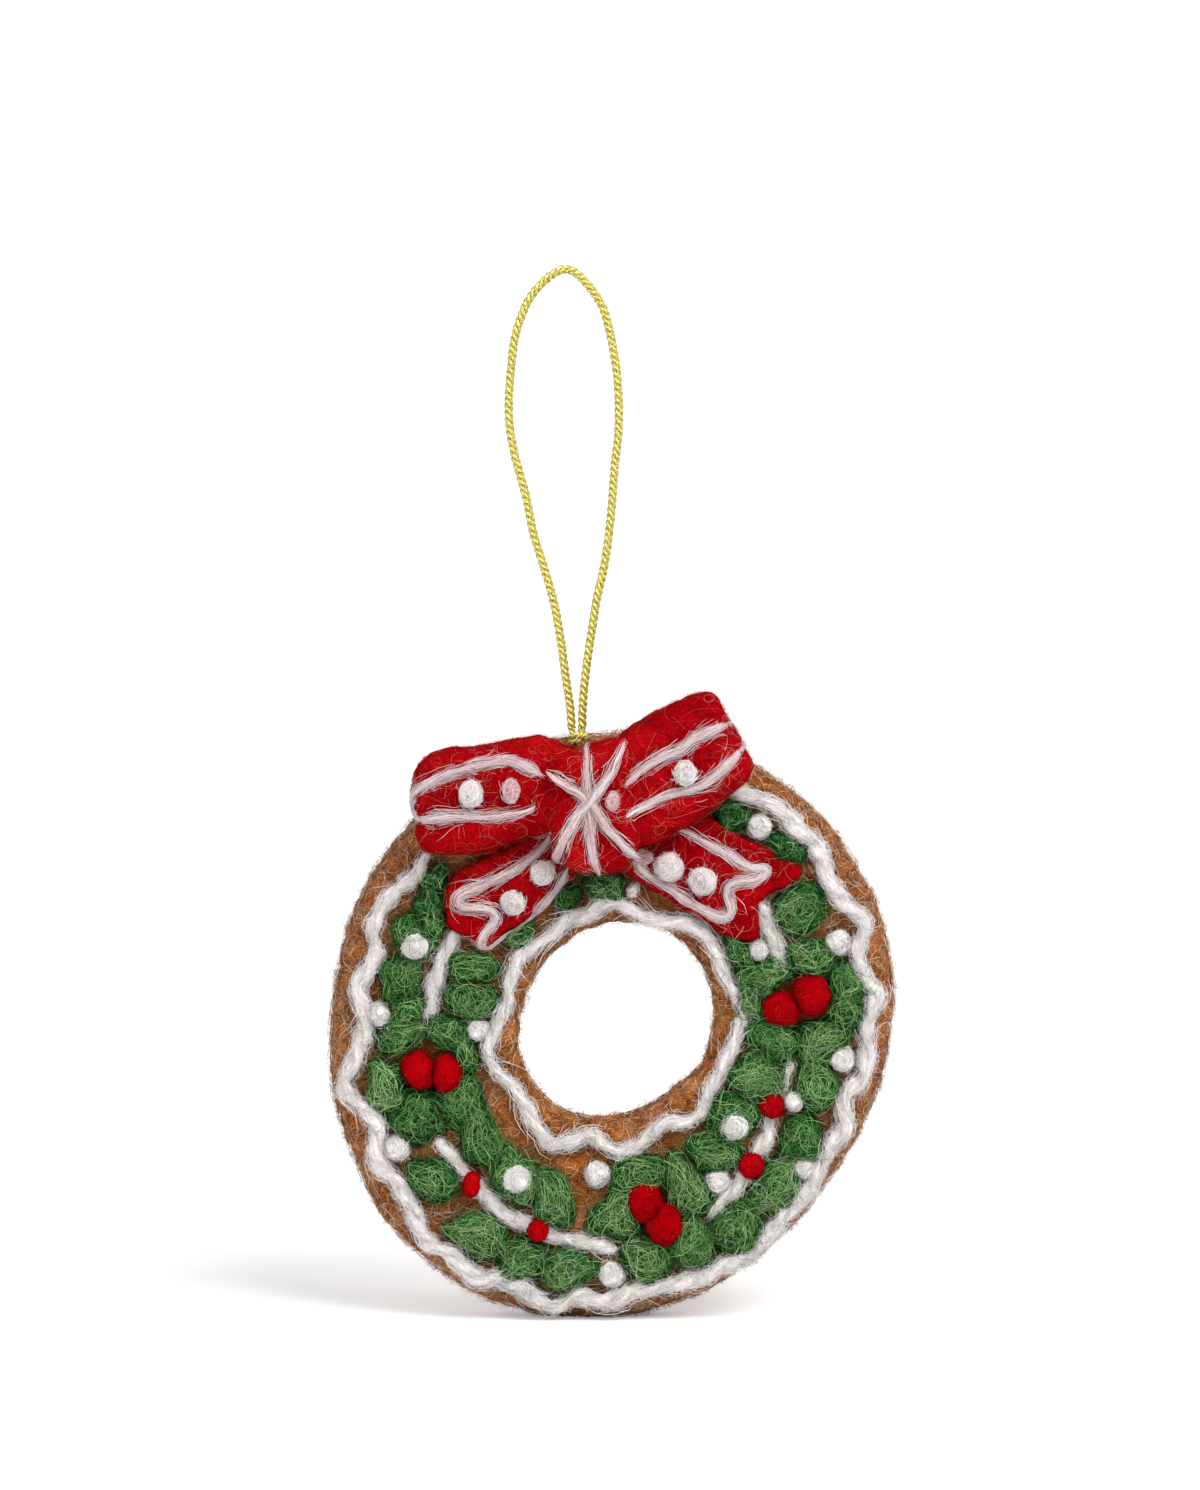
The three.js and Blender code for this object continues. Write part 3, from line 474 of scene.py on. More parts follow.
def hole(turn):
    shift = HOLE_SHIFT * math.cos(turn - HOLE_SHIFT_TURN)
    return HOLE_RADIUS + shift + HOLE_OVAL * math.cos(2 * (turn - HOLE_OVAL_TURN))


def on_ring(degrees, share, y):
    turn = math.radians(degrees)
    reach = hole(turn) + share * (rim(turn) - hole(turn))
    return WREATH + [reach * math.cos(turn), y, reach * math.sin(turn)]


def on_bow(across, up, y):
    return WREATH + [BOW_ASIDE + across * BOW_SPAN, y, BOW_RISE + up * BOW_SPAN]


def respaced(line, step):
    """The line with evenly spaced points, and how far along it each one is."""
    gone = np.concatenate([[0], np.cumsum(np.linalg.norm(np.diff(line, axis=0), axis=1))])
    count = max(3, round(gone[-1] / step) + 1)
    at = np.linspace(0, gone[-1], count)
    return np.stack([np.interp(at, gone, line[:, i]) for i in range(3)], axis=1), at


def smooth_line(points, looped, step):
    """An evenly spaced smooth line through points."""
    points = np.asarray(points, float)
    if looped:
        guides = np.vstack([points[-1:], points, points[:2]])
    else:
        guides = np.vstack([2 * points[0] - points[1], points, 2 * points[-1] - points[-2]])
    pieces = []
    for a, b, c, d in zip(guides, guides[1:], guides[2:], guides[3:]):
        gaps = [math.sqrt(max(np.linalg.norm(q - p), 1e-6)) for p, q in ((a, b), (b, c), (c, d))]
        k0, k1, k2, k3 = np.cumsum([0.0] + gaps)
        t = np.linspace(k1, k2, 12, endpoint=False)[:, None]
        ab = (k1 - t) / (k1 - k0) * a + (t - k0) / (k1 - k0) * b
        bc = (k2 - t) / (k2 - k1) * b + (t - k1) / (k2 - k1) * c
        cd = (k3 - t) / (k3 - k2) * c + (t - k2) / (k3 - k2) * d
        abc = (k2 - t) / (k2 - k0) * ab + (t - k0) / (k2 - k0) * bc
        bcd = (k3 - t) / (k3 - k1) * bc + (t - k1) / (k3 - k1) * cd
        pieces.append((k2 - t) / (k2 - k1) * abc + (t - k1) / (k2 - k1) * bcd)
    pieces.append(points[:1] if looped else points[-1:])
    return respaced(np.vstack(pieces), step)


def linked(name, data):
    """A new object of the scene."""
    new = bpy.data.objects.new(name, data)
    bpy.context.collection.objects.link(new)
    return new


def read(items, field, kind=float):
    """A field of a mesh's items, three values to each."""
    values = np.empty(len(items) * 3, kind)
    items.foreach_get(field, values)
    return values.reshape(-1, 3)


def triangles(mesh):
    """The corners of a mesh's triangles."""
    mesh.calc_loop_triangles()
    return read(mesh.loop_triangles, "vertices", np.int32)


def mesh_from(name, points, quads, tris, uvs=None, tones=None):
    """A mesh from arrays: points in mm, quads and tris as corner numbers."""
    mesh = bpy.data.meshes.new(name)
    mesh.vertices.add(len(points))
    mesh.vertices.foreach_set("co", (points * MM).astype(np.float32).ravel())
    corners = np.concatenate([quads.ravel(), tris.ravel()]).astype(np.int32)
    mesh.loops.add(len(corners))
    mesh.loops.foreach_set("vertex_index", corners)
    starts = np.concatenate([np.arange(len(quads)) * 4, len(quads) * 4 + np.arange(len(tris)) * 3])
    mesh.polygons.add(len(starts))
    mesh.polygons.foreach_set("loop_start", starts.astype(np.int32))
    mesh.update(calc_edges=True)
    if uvs is not None:
        layer = mesh.uv_layers.new(name="UVMap")
        layer.uv.foreach_set("vector", uvs.astype(np.float32).ravel())
    if tones is not None:
        mesh.attributes.new("tone", "FLOAT", "POINT").data.foreach_set("value", tones.astype(np.float32))
    mesh.validate()
    mesh.shade_smooth()
    return mesh


def add_named(name, ending, skins, material, slot):
    """A shown piece that stands for the CAD node of its name, if the frame has one."""
    nodes = [name] if name in frame["nodes"] else []
    return add_piece(name + ending, skins.mesh(name), material, slot, nodes=nodes)


def add_piece(name, mesh, material, slot, body="wreath", nodes=()):
    """A shown piece that rides on a body and stands for the CAD nodes that it replaces."""
    piece = linked(name, mesh)
    mesh.materials.clear()
    mesh.materials.append(material)
    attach(piece, body)
    if nodes:
        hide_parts(*nodes)
    return piece


class Skins:
    """Closed skins gathered into one mesh."""

    def __init__(self):
        self.points, self.quads, self.tris, self.uv_quads, self.uv_tris = [], [], [], [], []
        self.count = 0

    def add(self, points, quads, tris, uv_quads, uv_tris):
        """Adds a closed skin, its faces turned to look outwards."""
        uv_quads = uv_quads.reshape(-1, 4, 2)
        halves = np.vstack([quads[:, :3], quads[:, [0, 2, 3]], tris])
        a, b, c = (points[corner] for corner in halves.T)
        if (a * np.cross(b, c)).sum() < 0:
            quads, tris, uv_quads, uv_tris = (part[:, ::-1] for part in (quads, tris, uv_quads, uv_tris))
        self.points.append(points)
        self.quads.append(quads + self.count)
        self.tris.append(tris + self.count)
        self.uv_quads.append(uv_quads)
        self.uv_tris.append(uv_tris)
        self.count += len(points)

    def mesh(self, name):
        stack = lambda parts, width: np.concatenate([p.reshape(-1, width) for p in parts])
        uvs = np.concatenate([stack(self.uv_quads, 2), stack(self.uv_tris, 2)])
        return mesh_from(name, np.concatenate(self.points), stack(self.quads, 4), stack(self.tris, 3), uvs)


def grid(rows, sides):
    """The quads between rows of points that go round: their corners near, near and on, far, far and on."""
    row, col = np.meshgrid(np.arange(rows - 1), np.arange(sides), indexing="ij")
    near, far = row * sides, (row + 1) * sides
    after = (col + 1) % sides
    return near + col, near + after, far + col, far + after


def caps(rows, sides):
    """The triangles that close the first and the last row to two points that follow all the rows."""
    turn = np.arange(sides)
    after = (turn + 1) % sides
    count = rows * sides
    first = np.stack([np.full(sides, count), turn, after], -1)
    last = np.stack([np.full(sides, count + 1), count - sides + after, count - sides + turn], -1)
    return np.vstack([first, last])


def tube(skins, line, side, up, radii, at, sides):
    """A closed tube round a line. side and up span its section, radii are its half width and half height."""
    angles = np.arange(sides) * TURN / sides
    ring = radii[:, 0, None, None] * np.cos(angles)[:, None] * side[:, None]
    ring = line[:, None] + ring + radii[:, 1, None, None] * np.sin(angles)[:, None] * up[:, None]
    near, near_on, far, far_on = grid(len(line), sides)
    row, col = np.divmod(near, sides)
    uv = lambda r, c: np.stack([c / sides, at[r]], -1)
    uv_quads = np.stack([uv(row, col), uv(row + 1, col), uv(row + 1, col + 1), uv(row, col + 1)], 2)
    points = np.vstack([ring.reshape(-1, 3), line[:1], line[-1:]])
    tris = caps(len(line), sides)
    uv_tris = np.zeros((len(tris), 3, 2))
    uv_tris[sides:, :, 1] = at[-1]
    skins.add(points, np.stack([near, far, far_on, near_on], -1).reshape(-1, 4), tris, uv_quads, uv_tris)


def carried_frames(line):
    """side and up along a line, carried on without twist."""
    ahead = unit(np.gradient(line, axis=0))
    side = np.empty_like(line)
    side[0] = unit(np.cross(ahead[0], FRONT + 0.01))
    for i in range(1, len(line)):
        carried = side[i - 1] - ahead[i] * (side[i - 1] @ ahead[i])
        side[i] = carried / np.linalg.norm(carried)
    return side, np.cross(side, ahead)


def toned(dice, tones, count):
    """A tone for each fibre, from the middle and the spread of them all."""
    return np.clip(dice.normal(*tones, count), 0, 1)


def fibres(name, lines, radius, tones, material, slot):
    """Wool fibres round lines, in as many pieces as keep each one light."""
    parts = math.ceil(len(lines) * 6 * lines.shape[1] / PIECE_FACES)
    for part, chosen in enumerate(np.array_split(np.arange(len(lines)), parts)):
        own = name if parts == 1 else name + "_" + str(part + 1)
        add_piece(own, fibre_mesh(own, lines[chosen], radius, tones[chosen]), material, slot)


def fibre_mesh(name, lines, radius, tones):
    """A thin three-sided tube with drawn-out ends round each line."""
    count, rows, _ = lines.shape
    ahead = unit(np.gradient(lines, axis=1))
    side = np.empty_like(lines)
    side[:, 0] = unit(np.cross(ahead[:, 0], np.roll(ahead[:, 0], 1, axis=1) + 0.3))
    for i in range(1, rows):
        side[:, i] = squared(side[:, i - 1], ahead[:, i])
    up = np.cross(side, ahead)
    taper = np.ones(rows)
    taper[0], taper[-1] = 0.55, 0.3
    thick = (np.broadcast_to(radius, (count,))[:, None] * taper)[:, :, None, None]
    angles = np.arange(3) * TURN / 3
    round_it = np.cos(angles)[:, None] * side[:, :, None] + np.sin(angles)[:, None] * up[:, :, None]
    points = (lines[:, :, None] + thick * round_it).reshape(-1, 3)
    base = np.arange(count)[:, None, None] * rows * 3
    near, near_on, far, far_on = grid(rows, 3)
    quads = np.stack([near, far, far_on, near_on], -1).reshape(1, -1, 4)
    ends = np.array([[0, 1, 2], [rows * 3 - 1, rows * 3 - 2, rows * 3 - 3]])[None]
    quads, ends = (base + quads).reshape(-1, 4), (base + ends).reshape(-1, 3)
    return mesh_from(name, points, quads, ends, tones=np.repeat(tones, rows * 3))


class Surface:
    """The triangles of pieces, in mm, to sow fibres on and to lay them over."""

    def __init__(self, pieces):
        points, tris, count = [], [], 0
        for piece in pieces:
            points.append(read(piece.data.vertices, "co") / MM)
            tris.append(triangles(piece.data) + count)
            count += len(piece.data.vertices)
        self.points, self.tris = np.concatenate(points), np.concatenate(tris)
        a, b, c = (self.points[self.tris[:, i]] for i in range(3))
        cross = np.cross(b - a, c - a)
        self.area = np.linalg.norm(cross, axis=1) / 2
        self.normals = unit(cross)
        self.middles = (a + b + c) / 3
        self.tree = BVHTree.FromPolygons(self.points.tolist(), self.tris.tolist())

    def sow(self, count, dice, liking):
        """Random places on the surface and their normals, more of them where liking is high."""
        weight = self.area * liking(self.middles, self.normals)
        chosen = dice.choice(len(self.tris), count, p=weight / weight.sum())
        u, v = dice.uniform(size=(2, count, 1))
        fold = u + v > 1
        u, v = np.where(fold, 1 - u, u), np.where(fold, 1 - v, v)
        a, b, c = (self.points[self.tris[chosen, i]] for i in range(3))
        return a + u * (b - a) + v * (c - a), self.normals[chosen]

    def front(self, places):
        """Where places, moved straight back from the front, meet the surface, or else its nearest point."""
        found = []
        for x, _, z in places.tolist():
            hit, normal, *_ = self.tree.ray_cast((x, BEFORE_ALL, z), (0, 1, 0))
            if hit is None or normal[1] > LOOKS_FORWARD:
                hit, normal, *_ = self.tree.find_nearest((x, found[-1][0][1] if found else BOW_FACE, z))
            found.append((hit, normal))
        return np.array([f[0] for f in found]), np.array([f[1] for f in found])

    def nearest(self, points):
        """The surface's nearest point to each point, and its normal there."""
        found = [self.tree.find_nearest(p) for p in points.tolist()]
        return np.array([f[0] for f in found]), np.array([f[1] for f in found])


def turned(vectors, axes, angles):
    """Vectors turned about axes that they are square to."""
    return vectors * np.cos(angles)[:, None] + np.cross(axes, vectors) * np.sin(angles)[:, None]


def creeping(surface, starts, normals, dice, lengths, rows, curl, lift):
    """Lines that creep over a surface from their starts, curling as they go, lift above it."""
    count = len(starts)
    way = squared(dice.normal(size=(count, 3)), normals)
    curls = dice.normal(0, curl, count)
    place = starts + normals * lift[:, :1]
    lines = [place]
    for row in range(1, rows):
        way = turned(way, normals, curls + dice.normal(0, curl / 2, count))
        ahead = place + way * (lengths / (rows - 1))[:, None]
        ground, normals = surface.nearest(ahead)
        place = ground + normals * lift[:, row : row + 1]
        way = squared(way, normals)
        lines.append(place)
    return np.stack(lines, 1)


def standing(starts, normals, dice, lengths, rows, lean, curl):
    """Lines that rise from a surface, lean over and curl."""
    count = len(starts)
    aside = squared(dice.normal(size=(count, 3)), normals)
    way = unit(normals + lean * aside * dice.uniform(0.3, 1.5, (count, 1)))
    axis = unit(np.cross(way, dice.normal(size=(count, 3))))
    bend = dice.normal(0, curl, count)
    place = starts - normals * 0.05
    lines = [place]
    for _ in range(1, rows):
        place = place + way * (lengths / (rows - 1))[:, None]
        way = turned(way, axis, bend)
        lines.append(place)
    return np.stack(lines, 1)


# Materials


def linear(hex_colour):
    """A colour written as #rrggbb, as the shader takes it."""
    channels = [int(hex_colour[i : i + 2], 16) / 255 for i in (1, 3, 5)]
    return [c / 12.92 if c <= 0.04045 else ((c + 0.055) / 1.055) ** 2.4 for c in channels] + [1.0]


class Nodes:
    """The shader nodes of a material or a world."""

    def __init__(self, owner):
        owner.use_nodes = True
        self.tree = owner.node_tree

    def fill(self, node, inputs):
        """Gives a node's inputs their values, or links them to other nodes' outputs."""
        for socket, value in inputs.items():
            if isinstance(value, bpy.types.NodeSocket):
                self.tree.links.new(value, node.inputs[socket])
            else:
                node.inputs[socket].default_value = value

    def new(self, kind, inputs, **settings):
        """The outputs of a new node."""
        node = self.tree.nodes.new("ShaderNode" + kind)
        for setting, value in settings.items():
            setattr(node, setting, value)
        self.fill(node, inputs)
        return node.outputs

    def finish(self, kind, inputs):
        """Fills the node of a kind that the tree began with."""
        self.fill(next(node for node in self.tree.nodes if node.type == kind), inputs)

    def most(self, values):
        """The highest of several outputs."""
        top, *others = values
        for value in others:
            top = self.new("Math", {0: top, 1: value}, operation="MAXIMUM")[0]
        return top


def ramped(nodes, share, *stops):
    """A colour from places and colours in turn."""
    node = nodes.tree.nodes.new("ShaderNodeValToRGB")
    elements = node.color_ramp.elements
    while len(elements) < len(stops):
        elements.new(0.5)
    for element, (place, colour) in zip(elements, stops):
        element.position = place
        element.color = linear(colour)
    nodes.fill(node, {0: share})
    return node.outputs[0]


def bumped(nodes, height, strength, distance):
    """A normal raised by a height, its distance in mm."""
    return nodes.new("Bump", {"Strength": strength, "Distance": distance * MM, "Height": height})[0]


def wool_strands(nodes, coords, turn, warp_scale, warp, stretch, scale):
    """Noise drawn out into curved strands, per mm."""
    bent = nodes.new("TexNoise", {"Scale": warp_scale, "Detail": 1, "Vector": coords})["Color"]
    moved = {0: bent, 1: (warp, warp, warp), 2: coords}
    centred = nodes.new("VectorMath", moved, operation="MULTIPLY_ADD")[0]
    laid = nodes.new("Mapping", {"Rotation": turn, "Scale": stretch, "Vector": centred})[0]
    return nodes.new("TexNoise", {"Scale": scale, "Detail": 3, "Roughness": 0.6, "Vector": laid})["Fac"]


def painted_crease_shade(nodes, colour, shade_depth):
    """A colour darkened with painted shade in the narrow places between pieces, as ambient occlusion finds
    them.
    """
    open_share = nodes.new("AmbientOcclusion", {"Distance": SHADE_REACH * MM}, samples=SHADE_RAYS)["AO"]
    ends = {"From Min": 0.1, "From Max": 0.8, "To Min": 1 - shade_depth}
    share = nodes.new("MapRange", {**ends, "Value": open_share})["Result"]
    return nodes.new("VectorMath", {"Vector": colour, "Scale": share}, operation="SCALE")[0]


def felt(name, dark, middle, light, fineness=1.0, sheen=0.25, bump=0.5, patches=0.12, gloss=0.1, shade_depth=0.5):
    """Needled wool: curled strands in three directions over soft patches of colour, with painted shade in
    narrow places.
    """
    material = bpy.data.materials.new(name)
    nodes = Nodes(material)
    coords = nodes.new("TexCoord", {})["Object"]
    mm = nodes.new("Mapping", {"Scale": (1 / MM, 1 / MM, 1 / MM), "Vector": coords})[0]
    most = nodes.most(
        wool_strands(nodes, mm, turn, 0.45 * fineness, 2.4 / fineness, (0.35, 1, 1.6), 2.2 * fineness)
        for turn in STRAND_TURNS
    )
    patch = nodes.new("TexNoise", {"Scale": patches, "Detail": 3, "Vector": mm})["Fac"]
    blend = nodes.new("Math", {0: patch, 1: 0.45, 2: most}, operation="MULTIPLY_ADD")[0]
    colour = ramped(nodes, blend, (0.62, dark), (0.82, middle), (1.02, light))
    nodes.finish("BSDF_PRINCIPLED", {
        # Base colour with painted shade in the narrow places between pieces
        "Base Color": painted_crease_shade(nodes, colour, shade_depth),
        "Normal": bumped(nodes, most, bump, 0.35),
        "Roughness": 0.95,
        "Specular IOR Level": gloss,
        "Sheen Weight": sheen,
        "Sheen Roughness": 0.5,
        "Sheen Tint": linear(light),
    })
    return material


def strand_wool(name, dark, middle, light, gloss=0.2, sheen=0.1, shade_depth=0.5):
    """Single fibres: each has its own tone, with painted shade where they lie in narrow places."""
    material = bpy.data.materials.new(name)
    nodes = Nodes(material)
    tone = nodes.new("Attribute", {}, attribute_name="tone")["Fac"]
    colour = ramped(nodes, tone, (0.0, dark), (0.5, middle), (1.0, light))
    nodes.finish("BSDF_PRINCIPLED", {
        # Base colour with painted shade in the narrow places between pieces
        "Base Color": painted_crease_shade(nodes, colour, shade_depth),
        "Roughness": 0.8,
        "Specular IOR Level": gloss,
        "Sheen Weight": sheen,
    })
    return material


def yarn_wool(name, dark, middle, light):
    """Drawn wool: fine streaks that run along the yarn."""
    material = bpy.data.materials.new(name)
    nodes = Nodes(material)
    coords = nodes.new("TexCoord", {})["UV"]
    laid = nodes.new("Mapping", {"Scale": (13.0, 0.35, 1), "Vector": coords})[0]
    noise = {"Scale": 1, "Detail": 4, "Roughness": 0.65, "Distortion": 0.4, "Vector": laid}
    streak = nodes.new("TexNoise", noise)["Fac"]
    nodes.finish("BSDF_PRINCIPLED", {
        "Base Color": ramped(nodes, streak, (0.3, dark), (0.5, middle), (0.7, light)),
        "Normal": bumped(nodes, streak, 0.6, 0.3),
        "Roughness": 0.9,
        "Specular IOR Level": 0.15,
        "Sheen Weight": 0.2,
    })
    return material


def metallic_thread(name, dark, middle, light):
    """Gold thread: filaments wound round each ply, bright on their crowns."""
    material = bpy.data.materials.new(name)
    nodes = Nodes(material)
    coords = nodes.new("TexCoord", {})["UV"]
    laid = nodes.new("Mapping", {"Rotation": (0, 0, 0.5), "Scale": (6, 1.6, 1), "Vector": coords})[0]
    filament = nodes.new("TexNoise", {"Scale": 2, "Detail": 3, "Vector": laid})["Fac"]
    nodes.finish("BSDF_PRINCIPLED", {
        "Base Color": ramped(nodes, filament, (0.3, dark), (0.5, middle), (0.68, light)),
        "Normal": bumped(nodes, filament, 0.7, 0.1),
        "Metallic": 0.55,
        "Roughness": 0.38,
    })
    return material


# The shade depth of each material sets how dark its painted shade in narrow places is
matt = {"sheen": 0.0, "gloss": 0.02}
brown_felt = felt(
    "brown_felt", "#55270a", "#b86a2c", "#e8b07a", fineness=1.7, bump=0.8, patches=0.3, shade_depth=0.6
)
red_felt = felt("red_felt", "#6c0008", "#a8000c", "#c81816", fineness=2.4, bump=0.8, shade_depth=0.65, **matt)
green_felt = felt(
    "green_felt", "#0d2813", "#27592a", "#4f8e48", fineness=1.3, sheen=0.1, bump=0.8, gloss=0.03, shade_depth=0.65
)
berry_felt = felt("berry_felt", "#7c0007", "#a80009", "#c2080e", fineness=2.0, shade_depth=0.6, **matt)
pearl_felt = felt("pearl_felt", "#d6ced1", "#faf8f8", "#ffffff", fineness=1.6, bump=0.8, shade_depth=0.12)
dot_felt = felt("dot_felt", "#dba9b0", "#f6e6e8", "#fffbfb", fineness=1.8, bump=0.8, shade_depth=0.15)
faint_felt = felt("faint_felt", "#c4626b", "#e8bcc1", "#faecee", fineness=1.8, bump=0.8, shade_depth=0.3)
white_yarn = yarn_wool("white_yarn", "#bfaeae", "#f5efed", "#fffefc")
bow_yarn_wool = yarn_wool("bow_yarn_wool", "#d0808a", "#f1d0d5", "#fdf2f3")
gold_thread = metallic_thread("gold_thread", "#5c521c", "#c6b850", "#f6efb0")
brown_wool = strand_wool("brown_wool", "#471d05", "#c47233", "#f4d0a8", shade_depth=0.6)
tan_wool = strand_wool("tan_wool", "#935a2e", "#dea26f", "#fbe8d5", shade_depth=0.6)
red_wool = strand_wool("red_wool", "#6c0007", "#ae020c", "#e03a28", gloss=0.03, sheen=0.0, shade_depth=0.6)
green_wool = strand_wool("green_wool", "#123518", "#478b42", "#aedb90", gloss=0.04, sheen=0.0, shade_depth=0.75)
white_wool = strand_wool("white_wool", "#c4b3b2", "#fbf7f5", "#fffffd", shade_depth=0.15)
streak_wool = strand_wool("streak_wool", "#d07f89", "#f3dfe2", "#ffffff", shade_depth=0.15)
pale_wool = strand_wool("pale_wool", "#d07a80", "#efc4c8", "#fff2f2", shade_depth=0.2)
pink_wool = strand_wool("pink_wool", "#b8301f", "#dd6a4c", "#f0b49c", shade_depth=0.2)


# Cord and knot


def twisted(skins, line, at, side, up, plies, offset, radius, pitch, sides, swell=None):
    """Plies that wind round a line."""
    wide = np.ones(len(line)) if swell is None else swell
    for ply in range(plies):
        angle = TURN * (at / pitch + ply / plies)
        out = wide[:, None] * (
            offset[0] * np.cos(angle)[:, None] * side + offset[1] * np.sin(angle)[:, None] * up
        )
        radii = np.stack([radius[0] * wide, radius[1] * wide], 1)
        tube(skins, line + out, side, up, radii, at, sides)


def make_cord():
    skins = Skins()
    line, at = smooth_line([[x, 0, z] for x, z in CORD_ROUTE], False, CORD_STEP)
    side = unit(np.cross(unit(np.gradient(line, axis=0)), FRONT))
    up = np.broadcast_to(FRONT, side.shape)
    offset, radius = (PLY_OFFSET, PLY_OFFSET), (PLY_RADIUS, PLY_RADIUS)
    twisted(skins, line, at, side, up, CORD_PLIES, offset, radius, PLY_PITCH, CORD_PLY_SIDES)
    cord = add_piece("gold_cord", skins.mesh("gold_cord"), gold_thread, "gold_cord", "cord", ["hanging_cord"])


def make_knot():
    """An overhand knot pulled tight: the cord winds round its own feet, and one cut end sticks out."""
    skins = Skins()
    turns = np.linspace(0, 1, 90)
    angle = TURN * KNOT_TURNS * turns + 0.6
    reach = KNOT_WRAP + 0.12 * np.sin(TURN * turns * 1.5)
    across = KNOT_X + reach * np.cos(angle) * 1.1
    height = KNOT_Z - 0.75 + 1.6 * turns + 0.2 * np.cos(angle)
    routes = [np.stack([across, reach * np.sin(angle), height], 1)]
    for (x, z), lean in ((CORD_ROUTE[0], KNOT_LEAN), (CORD_ROUTE[-1], -KNOT_LEAN)):
        above, below = KNOT_Z + KNOT_REACH, KNOT_Z - KNOT_REACH
        bend = [[x + 0.3 * lean, 0, above], [KNOT_X + lean, 0.1, KNOT_Z], [KNOT_X - lean, 0, below]]
        routes.append([[x, 0, z], *bend])
    routes.append([[KNOT_X + x, y, KNOT_Z + z] for x, y, z in CUT_END])
    offset, radius = (KNOT_PLY_OFFSET, KNOT_PLY_OFFSET), (KNOT_PLY_RADIUS, KNOT_PLY_RADIUS)
    for route in routes:
        line, at = smooth_line(route, False, KNOT_STEP)
        section = (*carried_frames(line), CORD_PLIES, offset, radius)
        twisted(skins, line, at, *section, PLY_PITCH, KNOT_PLY_SIDES)
    add_piece("gold_knot", skins.mesh("gold_knot"), gold_thread, "gold_cord", "knot", ["cord_knot"])


# Felt of the ring and the bow


def shaped(mesh, voxel, rounds):
    """A mesh closed, finely meshed and rounded: its points in mm, its normals, and the new mesh."""
    piece = linked("shape", mesh)
    fine = piece.modifiers.new("fine", "REMESH")
    fine.mode = "VOXEL"
    fine.voxel_size = voxel * MM
    soft = piece.modifiers.new("soft", "SMOOTH")
    soft.factor = 0.5
    soft.iterations = rounds
    new = bpy.data.meshes.new_from_object(piece.evaluated_get(bpy.context.evaluated_depsgraph_get()))
    bpy.data.objects.remove(piece)
    bpy.data.meshes.remove(mesh)
    return read(new.vertices, "co") / MM, read(new.vertices, "normal"), new


def dressed(name, nodes, voxel, rounds, grow, bumps, bridge=0.0):
    """The shape of CAD solids as soft felt: finely meshed, rounded, grown a little and bumpy. Where they
    are several, they are grown over the gaps between them first, as one piece."""
    grown_points, faces, count = [], [], 0
    for node in nodes:
        places, normals, mesh = shaped(frame["nodes"][node].data.copy(), voxel, 1 if bridge else 0)
        grown_points.append(places + normals * bridge)
        faces.append(triangles(mesh) + count)
        count += len(places)
        bpy.data.meshes.remove(mesh)
    joined = mesh_from(name, np.concatenate(grown_points), np.zeros((0, 4), int), np.concatenate(faces))
    places, normals, mesh = shaped(joined, voxel, rounds)
    rise = np.full(len(places), float(grow))
    for seed, (height, wavelength) in enumerate(bumps):
        rise += height * lumps(places, wavelength, seed + len(name))
    mesh.vertices.foreach_set("co", ((places + normals * rise[:, None]) * MM).ravel())
    mesh.name = name
    mesh.update()
    mesh.shade_smooth()
    return mesh


def eased(share):
    share = np.clip(share, 0, 1)
    return share * share * (3 - 2 * share)


def opened(mesh):
    """The ring with its hole a little wider, and more so at its back."""
    places = read(mesh.vertices, "co") / MM
    middle = WREATH[[0, 2]] + HOLE_SHIFT * np.array([math.cos(HOLE_SHIFT_TURN), math.sin(HOLE_SHIFT_TURN)])
    away = places[:, [0, 2]] - middle
    reach = np.linalg.norm(away, axis=1, keepdims=True)
    near = eased(1 - (reach - HOLE_RADIUS) / HOLE_SOFTENED)
    back = eased(places[:, 1:2] / RING_DEPTH)
    places[:, [0, 2]] += away / reach * near * (HOLE_EASE + HOLE_BACK_EASE * back)
    mesh.vertices.foreach_set("co", (places * MM).ravel())
    mesh.update()
    return mesh


def make_felt():
    """The ring's felt, and the list of the bow's felts."""
    ring = opened(dressed("ring_felt", ["felt_ring"], RING_VOXEL, RING_ROUNDS, RING_GROWTH, RING_BUMPS))
    ring_felt = add_piece("ring_felt", ring, brown_felt, "brown_felt", nodes=["felt_ring"])
    bow_felts = []
    for name, (nodes, rounds, growth, bridge) in BOW_FELTS.items():
        mesh = dressed(name, nodes, BOW_VOXEL, rounds, growth, BOW_BUMPS, bridge)
        bow_felts.append(add_piece(name, mesh, red_felt, "red_felt", nodes=nodes))
    return ring_felt, bow_felts


# Domes: leaves, berries, beads, pearls and dots


